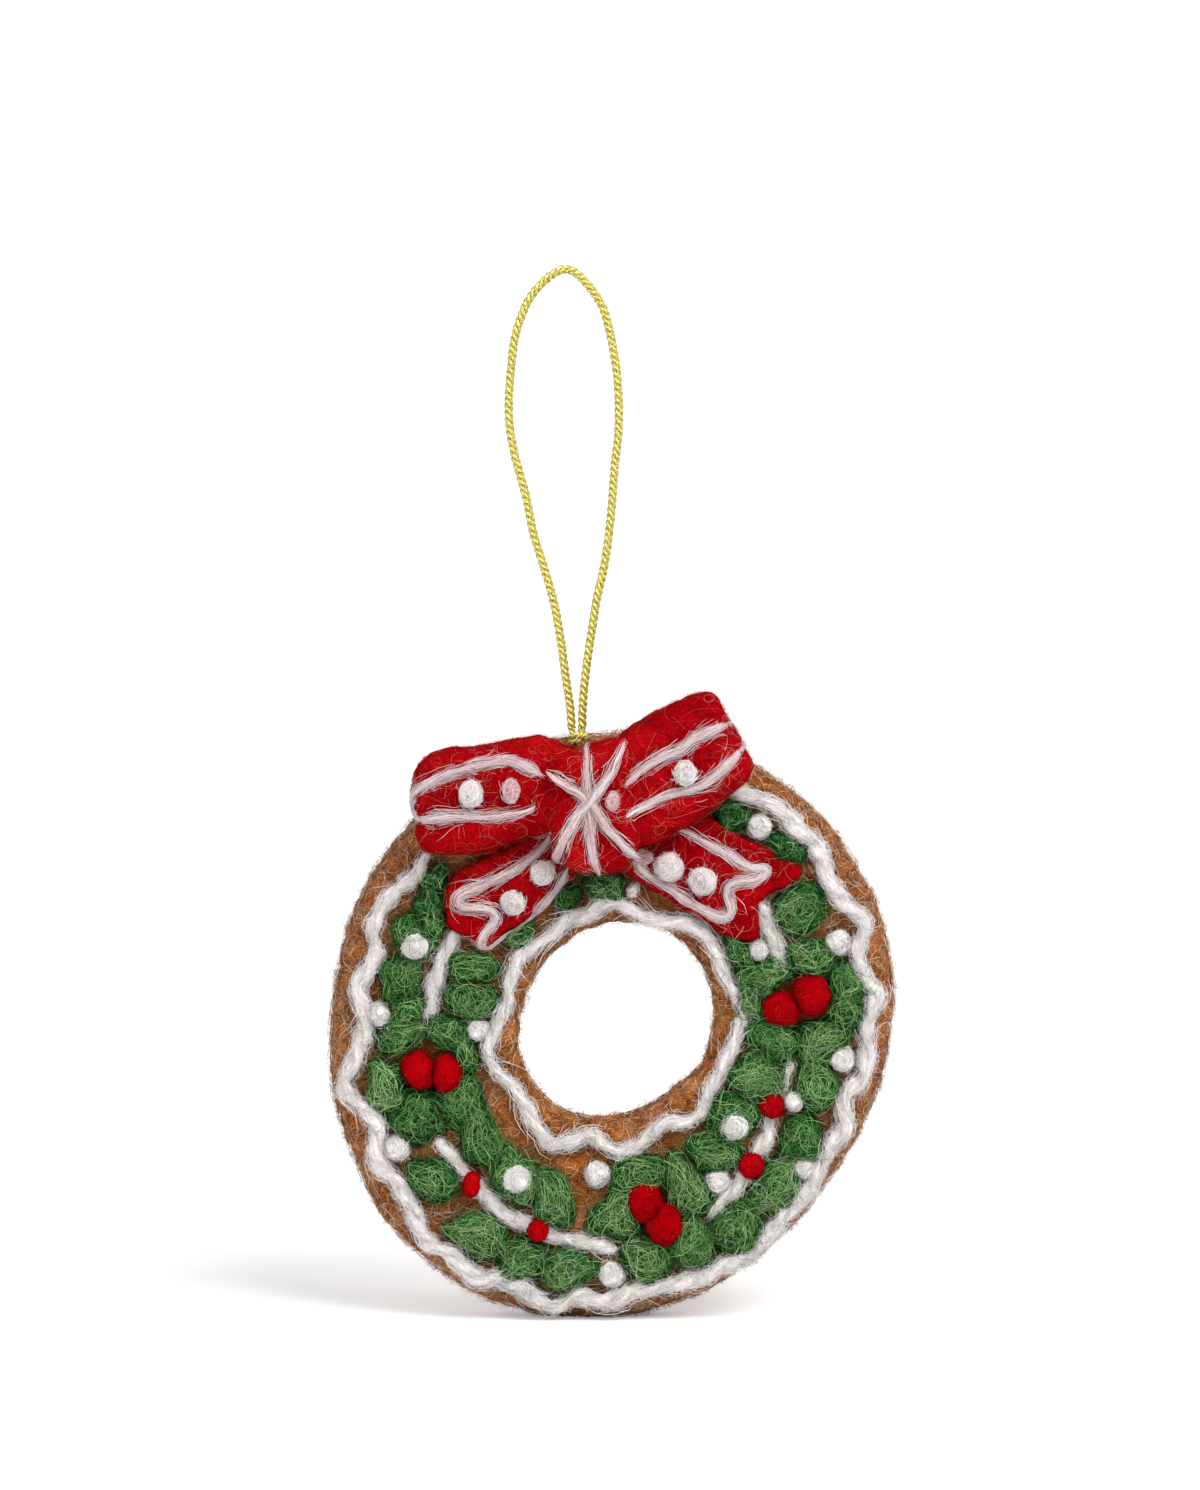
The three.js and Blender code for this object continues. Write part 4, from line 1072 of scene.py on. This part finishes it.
class Dome:
    """A felt lump: the middle of its back, its length, width, turn of its long axis, and height."""

    def __init__(self, middle, length, width, degrees, height, point=0.0, bulge=0.5, sunk=0.6, uneven=0.0):
        """point narrows one end, bulge sets how round the top is, sunk is how deep the back lies in what
        carries it, and uneven makes the outline wavy."""
        self.middle, self.half = np.asarray(middle, float), np.array([length / 2, width / 2])
        self.turn, self.height = math.radians(degrees), height
        self.point, self.bulge, self.sunk = point, bulge, sunk
        dice = np.random.default_rng(round(1000 * abs(self.middle[0]) + 10 * abs(self.middle[2])))
        self.waves = [(k, uneven * dice.normal(0, 1 / k), dice.uniform(0, TURN)) for k in (2, 3, 4, 5)]

    def at(self, share, angle):
        """The place at a share of the reach from the middle, and an angle round it."""
        rise = np.clip(1 - np.abs(share) ** 2.3, 0, 1) ** self.bulge
        reach = share * (1 + sum(size * np.cos(k * angle + phase) for k, size, phase in self.waves))
        along = self.half[0] * reach * np.cos(angle)
        across = self.half[1] * reach * np.sin(angle) * (1 - self.point * np.cos(angle))
        return self.middle + np.stack(
            [
                along * math.cos(self.turn) - across * math.sin(self.turn),
                -self.height * rise,
                along * math.sin(self.turn) + across * math.cos(self.turn),
            ],
            -1,
        )

    def skin(self, skins, seed, rough):
        """A closed lumpy skin, its back sunk into what carries it."""
        round_it = np.arange(DOME_SIDES) * TURN / DOME_SIDES
        share = np.sin(np.linspace(0, math.pi / 2, DOME_ROWS + 1)[1:])
        share, angle = np.meshgrid(share, round_it, indexing="ij")
        ring = self.at(share, angle)
        back = self.at(np.full(DOME_SIDES, 0.9), round_it)
        back[:, 1] = self.middle[1] + self.sunk
        top = self.at(np.zeros(1), np.zeros(1))
        bottom = self.middle[None] + [0, self.sunk, 0]
        points = np.vstack([ring.reshape(-1, 3), back, top, bottom])
        centre = self.middle + [0, -0.3 * self.height, 0]
        rise = 0.6 * lumps(points, 3.0, seed) + 0.4 * lumps(points, 1.5, seed + 1)
        rise = rise + 0.25 * lumps(points, 0.8, seed + 2)
        points += unit(points - centre) * (rough * rise)[:, None]
        near, near_on, far, far_on = grid(DOME_ROWS + 1, DOME_SIDES)
        quads = np.stack([near, near_on, far_on, far], -1).reshape(-1, 4)
        tris = caps(DOME_ROWS + 1, DOME_SIDES)[:, [0, 2, 1]]
        skins.add(points, quads, tris, np.zeros((len(quads), 4, 2)), np.zeros((len(tris), 3, 2)))

    def curled(self, count, rows, dice, sweep, lift, scatter, loose):
        """Curls of wool wound over the lump, each about a middle of its own."""
        t = np.linspace(-0.5, 0.5, rows)
        about = dice.normal(0, scatter, (count, 2))
        reach = np.sqrt(dice.uniform(0.03, 1.0, count)) * dice.uniform(0.75, 1.1, count)
        start, span = dice.uniform(0, TURN, count), dice.normal(sweep, 0.4 * sweep, count)
        angles = start[:, None] + span[:, None] * t
        spiral = reach[:, None] * (1 + dice.normal(0, 0.25, (count, 1)) * t)
        flat = np.stack([spiral * np.cos(angles), spiral * np.sin(angles)], -1) + about[:, None]
        share = np.linalg.norm(flat, axis=-1)
        over = np.maximum(share.max(axis=1, keepdims=True), 1.0)
        flat, share = flat / over[..., None], share / over
        lines = self.at(share, np.arctan2(flat[..., 1], flat[..., 0]))
        away = unit(lines - (self.middle + [0, 0.4 * self.height, 0]))
        rise = lift * (dice.uniform(0, 1, (count, 1)) + dice.uniform(0, 0.6, (count, rows)))
        strays = dice.uniform(size=count) < loose
        rise[strays] += lift * dice.uniform(1, 4, (strays.sum(), 1)) * np.abs(2 * t) ** 2
        return lines + away * rise[..., None]


def add_domes(name, domes, seed, seed_step, rough, material, slot):
    """One piece of felt lumps, each with a roughness of its own."""
    skins = Skins()
    for number, dome in enumerate(domes):
        dome.skin(skins, seed + seed_step * number, rough)
    return add_named(name, "_felt", skins, material, slot)


def make_leaves():
    groups = {
        name: [
            leaf_dome(place(*spot, -SEAT), length * LEAF_LENGTH, width * LEAF_WIDTH, turn, LEAF_HEIGHT)
            for *spot, length, width, turn in shares
        ]
        for table, place in ((LEAF_SHARES, on_ring), (BOW_LEAF_SHARES, on_bow))
        for name, shares in table.items()
    }
    groups["leaves_peeping"] = [
        leaf_dome(WREATH + [x, -SEAT, z], length, width, turn, PEEPING_FIT * LEAF_HEIGHT)
        for x, z, length, width, turn in PEEPING_LEAVES
    ]
    pieces = []
    for name, leaves in groups.items():
        pieces.append(add_domes(name, leaves, LEAF_SEED, 1, LEAF_ROUGHNESS, green_felt, "green_felt"))
    surface = Surface(pieces)
    cover_leaves(surface, [leaf for group in groups.values() for leaf in group])
    return surface


def cover_leaves(surface, leaves):
    """Curls wound over each leaf and tangles over them all, with a painted highlight that makes them paler on
    their crowns and painted shade that makes them darker by the bow.
    """
    dice = np.random.default_rng(5)
    counts = [round(LEAF_CURLS * 4 * leaf.half.prod() / (LEAF_LENGTH * LEAF_WIDTH)) for leaf in leaves]
    curls = [leaf.curled(count, 7, dice, 1.8, 0.42, 0.38, 0.24) for count, leaf in zip(counts, leaves)]
    paler = np.concatenate([np.full(count, dice.normal(0, 0.1)) for count in counts])
    starts, normals = surface.sow(LEAF_TANGLES, dice, outward)
    lift = 0.25 * dice.uniform(0, 1, (LEAF_TANGLES, 1)) ** 1.5 + dice.uniform(0, 0.15, (LEAF_TANGLES, 7))
    tangles = creeping(surface, starts, normals, dice, dice.uniform(1.2, 3.2, LEAF_TANGLES), 7, 0.6, lift)
    lines = np.concatenate([*curls, tangles])
    # Painted light: fibres that lie higher on a leaf get a paler tone, and those low between leaves a darker
    # one
    crown = (-SEAT - (lines[:, 3, 1] - WREATH[1])) / LEAF_HEIGHT
    tones = 0.66 * crown + np.concatenate([paler, 0.12 * lumps(starts, 5, 3)])
    tones = tones + dice.normal(-0.01, 0.27, len(lines))
    # Painted shade of the bow: fibres high on the ring, under the bow, get darker tones
    tones -= BOW_SHADE * np.clip((lines[:, 3, 2] - WREATH[2] - BOW_SHADE_FROM) / BOW_SHADE_EDGE, 0, 1)
    fibres("leaf_fibres", lines, LEAF_FIBRE_RADIUS, np.clip(tones, 0, 1), green_wool, "green_felt")


def outward(middles, normals):
    """None at the hidden backs, more on the crowns."""
    return np.clip(0.45 - normals[:, 1], 0, 1)


def leaf_dome(middle, length, width, turn, height):
    long, wide, high = LEAF_FIT
    return Dome(middle, long * length, wide * width, turn, high * height, 0.24, 0.5, uneven=0.2)


def berry_dome(middle, length, width, turn):
    long, wide, high = BERRY_FIT
    length, width = length * BERRY_WIDTH, width * BERRY_WIDTH
    height = high * BERRY_HEIGHT
    return Dome(middle, long * length, wide * width, turn, height, bulge=0.6, sunk=1.2, uneven=0.06)


def bead_dome(middle, length, width):
    fit, high = BEAD_FIT
    return Dome(middle, fit * width * BEAD_WIDTH, fit * length * BEAD_WIDTH, 0, high * BEAD_HEIGHT, sunk=0.9)


def make_berries():
    """Berries in their pairs, and the beads on the garland."""
    berries = {
        name: [
            berry_dome(on_ring(*spot, -2 * SEAT - BERRY_BED), length, width, turn)
            for *spot, length, width, turn in shares
        ]
        for name, shares in BERRY_SHARES.items()
    }
    for number, (turn, share, length, width) in enumerate(BEAD_SHARES):
        middle = on_ring(turn, share, -SEAT - BEAD_LIFT)
        berries["garland_bead_" + str(number + 1)] = [bead_dome(middle, length, width)]
    return berries


def make_pearls():
    """Pearls on the ring, on leaves and below the bow, and the faint specks."""
    on_leaves = -SEAT - PEARL_LIFT - LEAF_RISE
    pearls = [(on_ring(*spot, -SEAT), size) for *spot, size in PEARL_SHARES]
    pearls += [(on_ring(*spot, on_leaves), LEAF_PEARL_FIT * size) for *spot, size in LEAF_PEARL_SHARES]
    pearls += [(on_bow(*spot, -SEAT), size) for *spot, size in BOW_PEARL_SHARES]
    balls = {
        "pearl_" + str(number + 1): [Dome(middle, size * PEARL_WIDTH, size * PEARL_WIDTH, 0, PEARL_HEIGHT)]
        for number, (middle, size) in enumerate(pearls)
    }
    balls["white_specks"] = [
        Dome(WREATH + [x, -SEAT, z], length, width, turn, SPECK_HEIGHT)
        for x, z, length, width, turn in WHITE_SPECKS
    ]
    return balls


def make_dots(bow):
    """Dots that lie on the bow's felt: the clear ones and the faint ones."""
    shares = np.array(LOOP_DOT_SHARES + CENTRE_DOT_SHARES + TAIL_DOT_SHARES + PUFF_SHARES)
    middles, _ = bow.front(np.array([on_bow(across, up, 0) for across, up in shares[:, :2]]))
    clear, faint = {}, {}
    for number, (middle, (length, width)) in enumerate(zip(middles, shares[:, 2:])):
        rise = DOT_RISE * (min(length, width) - DOT_SUNK) / (1 - DOT_SUNK)
        kind = faint if min(length, width) <= FAINT_DOT else clear
        kind["bow_dot_" + str(number + 1)] = [Dome(middle, width * DOT_WIDTH, length * DOT_WIDTH, 0, rise)]
    return clear, faint


def make_balls(bow, bow_felts):
    """Berries, beads, pearls, dots and specks, with their fibres."""
    berries, balls = make_berries(), make_pearls()
    dots, faint_dots = make_dots(bow)
    shown = {}
    for kind, group, material, slot, rough in (
        ("berries", berries, berry_felt, "red_felt", BERRY_ROUGHNESS),
        ("balls", balls, pearl_felt, "white_felt", PEARL_ROUGHNESS),
        ("dots", dots, dot_felt, "white_felt", PEARL_ROUGHNESS),
        ("faint dots", faint_dots, faint_felt, "white_felt", PEARL_ROUGHNESS),
    ):
        shown[kind] = []
        for seed, (name, domes) in enumerate(group.items()):
            shown[kind].append(add_domes(name, domes, BALL_SEED + seed, 40, rough, material, slot))
    dice = np.random.default_rng(8)
    for name, groups, wool in (
        ("pearl_fibres", (*balls.values(), *dots.values()), white_wool),
        ("faint_dot_fibres", faint_dots.values(), pale_wool),
    ):
        count, radius = BALL_CURLS[name]
        domes = [dome for group in groups for dome in group]
        wound = np.concatenate([dome.curled(count, 8, dice, 2.2, 0.2, 0.35, 0.2) for dome in domes])
        fibres(name, wound, radius, toned(dice, (0.6, 0.35), len(wound)), wool, "white_felt")
    fuzz("pearl_fuzz", Surface(shown["balls"] + shown["dots"]), outward, dice, white_wool, "white_felt")
    on_felt = shown["dots"] + shown["faint dots"]
    starts, normals = Surface(on_felt).sow(DOT_WISPS, dice, outward)
    lift = np.broadcast_to(dice.uniform(0.02, 0.16, (DOT_WISPS, 1)), (DOT_WISPS, 7))
    lengths = dice.uniform(1.2, 2.8, DOT_WISPS)
    wisps = creeping(Surface(on_felt + bow_felts), starts, normals, dice, lengths, 7, 0.5, lift)
    tones = toned(dice, (0.6, 0.3), DOT_WISPS)
    fibres("dot_wisps", wisps, DOT_WISP_RADIUS, tones, pale_wool, "white_felt")
    return shown["berries"], [dome for group in berries.values() for dome in group]


# Yarns


class Yarn:
    """Plies of loosely drawn wool wound round each other along a route."""

    def __init__(self, points, size, seed, looped=False, pitch=9.0, spread=0.3, thick=0.58, over=None):
        """spread and thick are the shares of half the size that set the plies apart and fill them. A yarn
        over a surface lies on it."""
        self.line, self.at = smooth_line(points, looped, YARN_STEP)
        self.up = np.broadcast_to(FRONT, self.line.shape)
        if over is not None:
            self.line, self.up = settled(*over.front(self.line), size[1] / 2)
        self.side = unit(np.cross(unit(np.gradient(self.line, axis=0)), self.up))
        if looped:
            pitch = self.at[-1] / round(self.at[-1] / pitch)
        half = np.array(size) / 2
        self.pitch, self.half, self.offset, self.radius = pitch, half, spread * half, thick * half
        self.swell = 0.98 + 0.13 * lumps(self.line, 8, seed) + 0.12 * lumps(self.line, 3.2, seed + 1)
        if not looped:
            ends = np.minimum(self.at, self.at[-1] - self.at)
            self.swell *= 0.3 + 0.7 * np.clip(ends / (TAPER * half[0]), 0, 1) ** 0.7

    def skin(self, skins):
        section = (self.side, self.up, YARN_PLIES, self.offset, self.radius)
        twisted(skins, self.line, self.at, *section, self.pitch, YARN_PLY_SIDES, self.swell)

    def read(self, gone):
        """The line, which runs straight on past its ends, and its side, up and swell at places along it."""
        values = (self.line, self.side, self.up, self.swell[:, None])
        line, side, up, swell = (
            np.stack([np.interp(gone, self.at, v[:, i]) for i in range(v.shape[1])], -1) for v in values
        )
        ends = unit(self.line[[0, -1]] - self.line[[2, -3]])
        before, after = np.maximum(-gone, 0), np.maximum(gone - self.at[-1], 0)
        line = line + before[..., None] * ends[0] + after[..., None] * ends[1]
        return line, side, up, swell[..., 0]

    def runs(self, dice, count, rows, length):
        """Where fibres of about a length lie along the yarn."""
        t = np.linspace(0, 1, rows)
        length = length * dice.uniform(0.6, 1.4, count)
        start = dice.uniform(-0.5, self.at[-1] - 0.5 * length)
        start = np.clip(start, -WISP * dice.uniform(0.1, 1, count), None)
        end = np.minimum(start + length, self.at[-1] + WISP * dice.uniform(0.1, 1, count))
        return t, start[:, None] + (end - start)[:, None] * t

    def strands(self, dice, count, rows, length, lift, loose):
        """Fibres that run along the plies, and a share of them that stray off."""
        t, gone = self.runs(dice, count, rows, length)
        angle = TURN * (gone / self.pitch + dice.integers(YARN_PLIES, size=count)[:, None] / YARN_PLIES)
        about = dice.uniform(0, TURN, count)[:, None] + dice.normal(0, 2.2, count)[:, None] * t
        line, side, up, swell = self.read(gone)
        height = lift * dice.uniform(0, 1, (count, 1)) ** 2 + dice.normal(0, 0.05, (count, rows))
        stray = dice.uniform(size=count) < loose
        height[stray] += np.abs(dice.normal(0, 1.2, (stray.sum(), 1))) * t**2
        wide = swell * (self.offset[0] * np.cos(angle) + self.radius[0] * np.cos(about))
        tall = swell * (self.offset[1] * np.sin(angle) + self.radius[1] * np.sin(about))
        wide, tall = wide + height * np.cos(about), tall + height * np.sin(about)
        return line + wide[..., None] * side + np.maximum(tall, -self.radius[1] * 1.3)[..., None] * up

    def drawn(self, dice, count, rows, length, loose):
        """A loose flat lock of fibres that lies on what carries the yarn, thinner to its sides."""
        t, gone = self.runs(dice, count, rows, length)
        line, side, up, swell = self.read(gone)
        drift = dice.normal(0, 0.3, (count, 1)) * (t - 0.5)
        wave = 0.16 * np.sin(TURN * (t * dice.uniform(0.3, 1.4, (count, 1)) + dice.uniform(0, 1, (count, 1))))
        wide = dice.normal(0, 0.55, (count, 1)) + drift + wave
        stray = dice.uniform(size=count) < loose
        wide[stray] += dice.normal(0, 1.1, (stray.sum(), 1)) * t**2
        crown = np.clip(1 - wide**2, 0, 1) * dice.uniform(0, 1, (count, 1))
        tall = -0.75 + 1.5 * crown + np.abs(dice.normal(0, 0.15, (count, rows)))
        wide, tall = swell * self.half[0] * wide, swell * self.half[1] * tall
        return line + wide[..., None] * side + tall[..., None] * up


def settled(line, up, rise):
    """A line laid on a surface, lifted by rise and smoothed, and the way up along it."""
    parts = np.array([0.25, 0.5, 0.25])
    soften = lambda v: np.stack([np.convolve(np.pad(c, 1, mode="edge"), parts, "valid") for c in v.T], 1)
    for _ in range(SETTLING_ROUNDS):
        line, up = soften(line), soften(up)
    return line + unit(up) * rise, unit(up)


def make_yarns(bow):
    groups = {}
    for name, shares, size, seed, looped in (
        ("icing_yarn_outer", ICING_OUTER_SHARES, ICING_OUTER, 11, False),
        ("icing_yarn_inner", ICING_INNER_SHARES, ICING_INNER, 12, True),
    ):
        filled = (ICING_FIT[0] * size[0], ICING_FIT[1] * size[1])
        groups[name] = [Yarn(ring_route(shares, size), filled, seed, looped)]
    for seed, (name, shares) in enumerate(GARLAND_SHARES.items()):
        filled = (GARLAND_FIT * GARLAND[0], GARLAND[1])
        groups[name] = [Yarn(tucked(ring_route(shares, GARLAND)), filled, 20 + seed)]
    laid = [yarn for group in groups.values() for yarn in group]
    for name, shares in {**LOOP_YARN_SHARES, **TAIL_YARN_SHARES}.items():
        groups[name] = [bow_yarn(shares, bow, 30 + len(groups))]
    groups["bow_yarn_centre"] = [
        bow_yarn(shares, bow, 41 + number, CENTRE_YARN_LIFT * number)
        for number, shares in enumerate(CENTRE_YARN_SHARES)
    ]
    drawn = [yarn for group in groups.values() for yarn in group if yarn not in laid]
    on_ring_felt, on_bow_felt = [], []
    for name, group in groups.items():
        skins = Skins()
        for yarn in group:
            yarn.skin(skins)
        on_bow_yarn = name.startswith("bow")
        piece = add_named(name, "_wool", skins, bow_yarn_wool if on_bow_yarn else white_yarn, "white_yarn")
        (on_bow_felt if on_bow_yarn else on_ring_felt).append(piece)
    dice = np.random.default_rng(9)
    lines = np.concatenate([y.strands(dice, int(ICING_STRANDS * y.at[-1]), 8, 7, 0.3, 0.26) for y in laid])
    tones = toned(dice, (0.6, 0.3), len(lines))
    fibres("icing_fibres", lines, ICING_FIBRE_RADIUS, tones, white_wool, "white_yarn")
    lines = np.concatenate([y.drawn(dice, int(BOW_YARN_STRANDS * y.at[-1]), 9, 7, 0.3) for y in drawn])
    tones = toned(dice, (0.66, 0.36), len(lines))
    fibres("bow_yarn_fibres", lines, BOW_YARN_FIBRE_RADIUS, tones, streak_wool, "white_yarn")
    return on_ring_felt, on_bow_felt


def tucked(points):
    """A route that runs on under the leaves at its ends."""
    points = np.array(points, float)
    ends = unit(points[[0, -1]] - points[[1, -2]])
    return np.vstack([points[:1] + TUCK * ends[:1], points, points[-1:] + TUCK * ends[1:]])


def ring_route(shares, size):
    return [on_ring(turn, share, -SEAT - size[1] / 2 + YARN_BED) for turn, share in shares]


def bow_yarn(shares, bow, seed, lift=0.0):
    points = [on_bow(across, up, 0) for across, up in shares]
    size = (BOW_YARN_FIT[0] * BOW_YARN[0], BOW_YARN_FIT[1] * BOW_YARN[1] + 2 * lift)
    return Yarn(points, size, seed, pitch=14, spread=0.2, thick=0.15, over=bow)


# Loose fibres


def grown(name, surface, liking, dice, material, slot, over=None, clear=()):
    """Fibres sown on a surface that creep over it, or over another one, where they cross no dome."""
    count, lengths, rows, curl, lifts, radius, tones = CREEPING_FIBRES[name]
    starts, normals = surface.sow(count, dice, liking)
    lift = dice.uniform(*lifts, (count, 1)) + dice.uniform(0, 0.5 * lifts[1], (count, rows))
    lines = creeping(over or surface, starts, normals, dice, dice.uniform(*lengths, count), rows, curl, lift)
    lines = clear_of(lines, clear)
    fibres(name, lines, radius, toned(dice, tones, len(lines)), material, slot)


def fuzz(name, surface, liking, dice, material, slot):
    """Short fibres that stand up from a surface."""
    count, lengths, rows, lean, curl, radius, tones = STANDING_FIBRES[name]
    starts, normals = surface.sow(count, dice, liking)
    lines = standing(starts, normals, dice, dice.uniform(*lengths, count), rows, lean, curl)
    fibres(name, lines, radius, toned(dice, tones, count), material, slot)


def from_middle(middles):
    """How far places are from the ring's middle, seen from the front."""
    return np.hypot(middles[:, 0] - WREATH[0], middles[:, 2] - WREATH[2])


def front_edges(middles, normals):
    """More on the bare bands at the rim and the hole than under the leaves, and fewest at the back."""
    reach = from_middle(middles)
    band = (reach < HOLE_RADIUS + HOLE_BAND) | (reach > RING_RADIUS - RIM_BAND)
    return np.where(normals[:, 1] > LOOKS_BACK, 0.45, np.where(band, 1.6, 0.7))


def front_rim(middles, normals):
    """Most on the band at the rim, seen from the front or the side."""
    band = from_middle(middles) > RING_RADIUS - RIM_BAND
    return np.where(normals[:, 1] > LOOKS_BACK, 0.45, np.where(band, 1.8, 0.45))


def sides(middles, normals):
    """Most where the surface faces neither the front nor the back."""
    return 1.15 - np.abs(normals[:, 1])


def everywhere(middles, normals):
    return np.ones(len(middles))


def clear_of(lines, domes):
    """The lines that cross none of the domes."""
    kept = np.ones(len(lines), bool)
    for dome in domes:
        kept &= np.hypot(*(lines - dome.middle)[..., [0, 2]].transpose(2, 0, 1)).min(1) > dome.half.max()
    return lines[kept]


def make_loose_fibres(ring, bow, leaves, berries, berry_domes, ring_yarns, bow_yarns):
    dice = np.random.default_rng(21)
    brown, tan = (brown_wool, "brown_felt"), (tan_wool, "brown_felt")
    crimson, pink = (red_wool, "red_felt"), (pink_wool, "red_felt")
    green, white, pale = (green_wool, "green_felt"), (white_wool, "white_yarn"), (pale_wool, "white_yarn")
    for make, name, surface, liking, wool in (
        (grown, "ring_fibres", ring, front_edges, brown),
        (grown, "ring_curls", ring, front_rim, tan),
        (fuzz, "ring_fuzz", ring, sides, brown),
        (grown, "bow_fibres", bow, everywhere, crimson),
        (fuzz, "bow_fuzz", bow, everywhere, crimson),
        (grown, "bow_strays", bow, everywhere, pink),
        (grown, "berry_fibres", berries, everywhere, crimson),
        (fuzz, "berry_fuzz", berries, everywhere, crimson),
        (grown, "icing_curls", ring_yarns, outward, white),
        (fuzz, "icing_fuzz", ring_yarns, outward, white),
    ):
        make(name, surface, liking, dice, *wool)
    cover = Surface([piece for piece in bpy.data.objects if piece.name.endswith(("_felt", "_wool"))])
    for name, surface, wool in (
        ("bow_cobweb", bow_yarns, pale),
        ("green_strays", leaves, green),
        ("white_strays", ring_yarns, white),
        ("brown_strays", ring, brown),
    ):
        grown(name, surface, outward, dice, *wool, cover, berry_domes)


# Stage, lights and camera


def make_camera():
    right, up = (np.array(MIDDLE_PIXEL) - HOOK_PIXEL) * [1, -1] * PIXEL * MM
    aim = Vector((right, 0, up))
    back = Vector((0, -math.cos(CAMERA_ELEVATION), math.sin(CAMERA_ELEVATION)))
    camera = linked("camera", bpy.data.cameras.new("camera"))
    camera.location = aim + back * CAMERA_DISTANCE
    camera.rotation_euler = back.to_track_quat("Z", "Y").to_euler()
    camera.data.sensor_fit = "VERTICAL"
    camera.data.sensor_height = SENSOR
    camera.data.lens = SENSOR * CAMERA_DISTANCE / (FRAME_PIXELS[1] * PIXEL * MM)
    camera.data.clip_start = 0.01
    bpy.context.scene.camera = camera


def area_light(name, place, size, power):
    lamp = bpy.data.lights.new(name, "AREA")
    lamp.size = size
    lamp.energy = power
    light = linked(name, lamp)
    light.location = place
    light.rotation_euler = (Vector(place) - Vector(LIGHT_AIM)).to_track_quat("Z", "Y").to_euler()


def make_floor(height):
    """A floor that bends up into a backdrop."""
    profile = [(FLOOR_FRONT, 0.0)]
    for step in range(FLOOR_STEPS + 1):
        angle = step / FLOOR_STEPS * math.pi / 2
        profile.append((FLOOR_BEND_FROM + FLOOR_BEND * math.sin(angle), FLOOR_BEND * (1 - math.cos(angle))))
    profile.append((FLOOR_BEND_FROM + FLOOR_BEND, FLOOR_TOP))
    points = [(x, y, height + z) for y, z in profile for x in (-FLOOR_WIDTH, FLOOR_WIDTH)]
    faces = [(2 * i, 2 * i + 1, 2 * i + 3, 2 * i + 2) for i in range(len(profile) - 1)]
    mesh = bpy.data.meshes.new("floor")
    mesh.from_pydata(points, [], faces)
    mesh.shade_smooth()
    return mesh


def make_stage():
    height = min(cad_box[0][2], cad_box[1][2])
    mesh = make_floor(height)
    floor = linked("floor", mesh)
    material = bpy.data.materials.new("floor")
    nodes = Nodes(material)
    coords = nodes.new("TexCoord", {})["Object"]
    away = nodes.new("VectorMath", {0: coords, 1: (0, 0, height)}, operation="DISTANCE")["Value"]
    ends = dict(zip(("From Min", "From Max", "To Min", "To Max"), (*GLOW_REACH, *FLOOR_GLOW)))
    glow = nodes.new("MapRange", {**ends, "Value": away}, interpolation_type="SMOOTHSTEP")["Result"]
    seen = nodes.new("LightPath", {})["Is Camera Ray"]
    nodes.finish("BSDF_PRINCIPLED", {
        "Base Color": (0.93, 0.93, 0.93, 1),
        "Roughness": 0.9,
        "Specular IOR Level": 0.1,
        "Emission Color": (1, 1, 1, 1),
        "Emission Strength": nodes.new("Math", {0: seen, 1: glow}, operation="MULTIPLY")[0],
    })
    mesh.materials.append(material)
    floor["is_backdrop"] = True


def make_light():
    for name, (place, size, power) in LAMPS.items():
        area_light(name, place, size, power)
    world = bpy.data.worlds.new("studio")
    bpy.context.scene.world = world
    nodes = Nodes(world)
    paths = nodes.new("LightPath", {})
    plain = nodes.most(paths[ray] for ray in ("Is Camera Ray", "Is Glossy Ray", "Is Transmission Ray"))
    scale = {0: plain, 1: 1 - WORLD_STRENGTH, 2: WORLD_STRENGTH}
    strength = nodes.new("Math", scale, operation="MULTIPLY_ADD")[0]
    nodes.finish("BACKGROUND", {"Color": (1, 1, 1, 1), "Strength": strength})
    bpy.context.scene.view_settings.view_transform = "Standard"


make_camera()
make_cord()
make_knot()
ring_felt, bow_felts = make_felt()
ring, bow = Surface([ring_felt]), Surface(bow_felts)
leaves = make_leaves()
berries, berry_domes = make_balls(bow, bow_felts)
ring_yarns, bow_yarns = make_yarns(bow)
make_loose_fibres(ring, bow, leaves, Surface(berries), berry_domes, Surface(ring_yarns), Surface(bow_yarns))
make_stage()
make_light()

box = lambda corners: [[float(v) for v in corner] for corner in corners]
{"cad": box(cad_box), "visual": box(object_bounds())}
